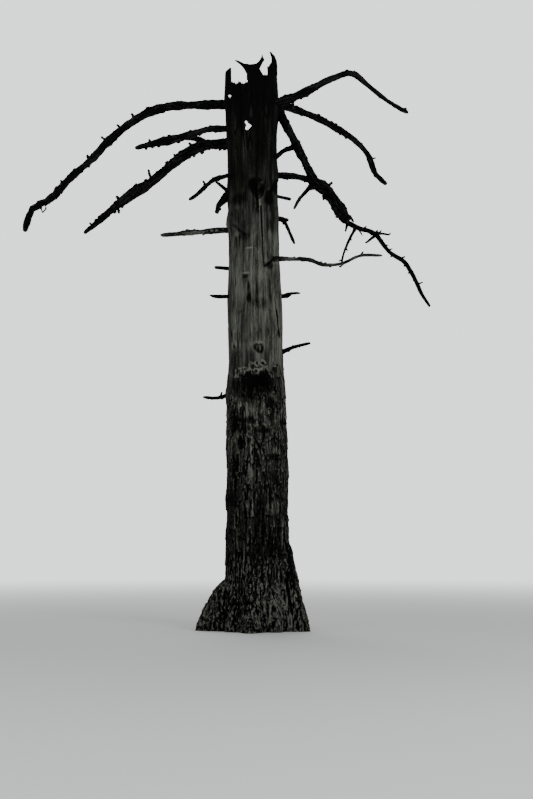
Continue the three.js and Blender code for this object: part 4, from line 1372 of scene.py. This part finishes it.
# length, slope above level and bearing of each leg
STEM_LEGS = [
    (0.305, -31, 322), (0.185, -22, 322), (0.2, -35, 322), (0.195, -56, 340), (0.21, -53, 340),
    (0.32, -38, 340), (0.155, -55, 8), (0.22, -62, 8), (0.255, -66, 8), (0.26, -57, 8),
]
HANGING = {"at": 0.205, "length": 0.780, "wide": 0.046, "bearing": 190, "slope": -56}
FIRST_TWIG, LAST_TWIG = 0.200, 0.120
TWIG_SPACING, TWIG_LENGTH = (0.150, 0.230), (0.070, 0.230)
TWIG_SHORTENED = 0.6
TWIG_ASIDE, TWIG_SLOPE = (50, 90), (-35, 25)
TWIG_DROOP, TWIG_CROOK = 6, 15
TWIG_TAPER = (1, 0.75, 0.4)
TWIG_WIDE, TWIG_STEPS, TWIG_SEED = 0.024, 4, 11
CURVE_STEPS, STEM_SPACING, TWIG_POINTS = 24, 0.03, 0.02

twig_draws = seeded(TWIG_SEED)


def between(ends):
    """The next chance of the twigs' own row."""
    return spread(twig_draws, ends)


def direction(slope, bearing):
    """A unit direction from a slope above level and a bearing."""
    flat, turn = math.cos(math.radians(slope)), math.radians(bearing)
    return np.array((flat * math.cos(turn), flat * math.sin(turn), math.sin(math.radians(slope))))


def curve_through(points, spacing):
    """Evenly spaced points on a smooth curve through some points, whose knots are a root of their gaps."""
    points = [np.array(point, float) for point in points]
    ends = [2 * points[0] - points[1], *points, 2 * points[-1] - points[-2]]
    fine = []
    for a, b, c, d in zip(ends, ends[1:], ends[2:], ends[3:]):
        first, middle, last = (math.sqrt(np.linalg.norm(q - p)) for p, q in ((a, b), (b, c), (c, d)))
        leaving = ((b - a) / first - (c - a) / (first + middle) + (c - b) / middle) * middle
        arriving = ((c - b) / middle - (d - b) / (middle + last) + (d - c) / last) * middle
        bend = -3 * b + 3 * c - 2 * leaving - arriving
        turn = 2 * b - 2 * c + leaving + arriving
        for share in np.linspace(0, 1, CURVE_STEPS, endpoint=False):
            fine.append(b + leaving * share + bend * share ** 2 + turn * share ** 3)
    fine = np.array([*fine, points[-1]])
    reach = distances(fine)
    even = np.linspace(0, reach[-1], max(3, round(reach[-1] / spacing) + 1))
    return along_run(even, reach, fine), reach[-1]


def legs_from(start, legs):
    """Corner points of a run of legs, each a length, a slope and a bearing."""
    points = [np.array(start, float)]
    for length, slope, bearing in legs:
        points.append(points[-1] + direction(slope, bearing) * length)
    return points


def twig_points(start, slope, bearing, length):
    """A side twig's corner points, as the rule sets them."""
    legs = []
    for index in range(TWIG_STEPS):
        crook = between((-TWIG_CROOK, TWIG_CROOK))
        legs.append((length / TWIG_STEPS, slope - TWIG_DROOP * index + crook / 2, bearing + crook))
    return legs_from(start, legs)


stem_points, stem_length = curve_through(legs_from(SPRAY_ROOT, STEM_LEGS), STEM_SPACING)
# pixels from the root of the twig out, and its width in mm
SEEN_TWIGS = [
    ([(373, 232.6), (377, 233.6), (383, 233.6), (389, 234.8)], 44),
    ([(377, 234), (372, 238), (366.6, 242.4)], 54), ([(347, 225), (345.4, 231.4)], 44),
    ([(376, 234), (377.4, 230)], 30), ([(394, 255), (390.4, 257)], 28),
    ([(354, 226), (354.2, 229), (352.6, 232)], 46),
]
print("stem length:", round(stem_length, 3))

# %% Grow the stem, its side twigs and the finer ones
FINE_SPACING, FINE_LENGTH = (0.12, 0.26), (0.02, 0.06)
FINE_WIDE, FINE_TAPER = 0.018, (1.2, 1, 0.7)
FINE_LEAN, FINE_BEND, FINE_FULL = 0.5, 0.25, 0.03
STEM_VOXEL, STEM_GIRTH, STEM_LOSS = 0.0042, 0.018, 0.003
LINE_SAMPLE = 5


def stem_at(reach):
    """A point on the stem."""
    return along_run(reach, np.linspace(0, stem_length, len(stem_points)), stem_points)


hanging = twig_points(stem_at(HANGING["at"]), HANGING["slope"], HANGING["bearing"], HANGING["length"])
twig_runs = [tapering(stem_points, 1.0, STEM_TAPER),
             tapering(curve_through(hanging, STEM_SPACING)[0], HANGING["wide"], TWIG_TAPER)]
for pixels, wide in SEEN_TWIGS:
    root = nearest_to(pixels[0], stem_points)
    points = [np.array(point_at(pixel, root)) for pixel in pixels]
    twig_runs.append(tapering(points, wide / 1000, TWIG_TAPER))
side, reach = 1, FIRST_TWIG
while reach < stem_length - LAST_TWIG:
    on_stem = reach / stem_length
    bearing = STEM_LEGS[int(on_stem * len(STEM_LEGS))][2] + side * between(TWIG_ASIDE)
    length = between(TWIG_LENGTH) * (1 + (TWIG_SHORTENED - 1) * on_stem)
    corners = twig_points(stem_at(reach), between(TWIG_SLOPE), bearing, length)
    twig_runs.append(tapering(curve_through(corners, TWIG_POINTS)[0], TWIG_WIDE, TWIG_TAPER))
    side = -side
    reach += between(TWIG_SPACING)

fine_runs = []
for run in twig_runs:
    middle = np.array([point for point, _ in run])
    gaps = np.linalg.norm(np.diff(middle, axis=0), axis=1)
    places = np.concatenate([[0], np.cumsum(gaps)])
    reach = chance.uniform(*FINE_SPACING)
    while reach < places[-1]:
        index = min(int(np.searchsorted(places, reach)), len(run) - 1)
        way = (middle[index] - middle[index - 1]) / gaps[index - 1]
        across = np.cross(way, [chance.uniform(-1, 1) for _ in range(3)])
        across /= np.linalg.norm(across)
        start, radius = run[index]
        length = chance.uniform(*FINE_LENGTH) * min(1, 0.5 + radius / FINE_FULL)
        bend = np.array([chance.uniform(-FINE_BEND, FINE_BEND) for _ in range(3)]) * length
        tip = start + (across + way * FINE_LEAN) * (radius + length)
        fine_runs.append(tapering([start, (start + tip) / 2 + bend, tip], FINE_WIDE, FINE_TAPER))
        reach += chance.uniform(*FINE_SPACING)

spray = tubes("spray_right_twigs", twig_runs + fine_runs, 2)
remeshed(spray, STEM_VOXEL)
places, _ = MiddleLine(corners_of(spray)[::LINE_SAMPLE], np.array(SPRAY_ROOT)).grain(corners_of(spray))
girth, loss = (np.full(len(places), value) for value in (STEM_GIRTH, STEM_LOSS))
store(spray, grain=places, girth=girth, pinch=loss)
carve(spray, limb_tree)
spray.data.materials.clear()
spray.data.materials.append(wood("weathered_twigs", bough_tone, BOUGH_BLACK, BOUGH_GREY, bough_bump, 0.92))
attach(spray, "root")
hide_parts("spray_right")
print("twigs:", len(twig_runs), "finer twigs:", len(fine_runs), "faces:", len(spray.data.polygons))
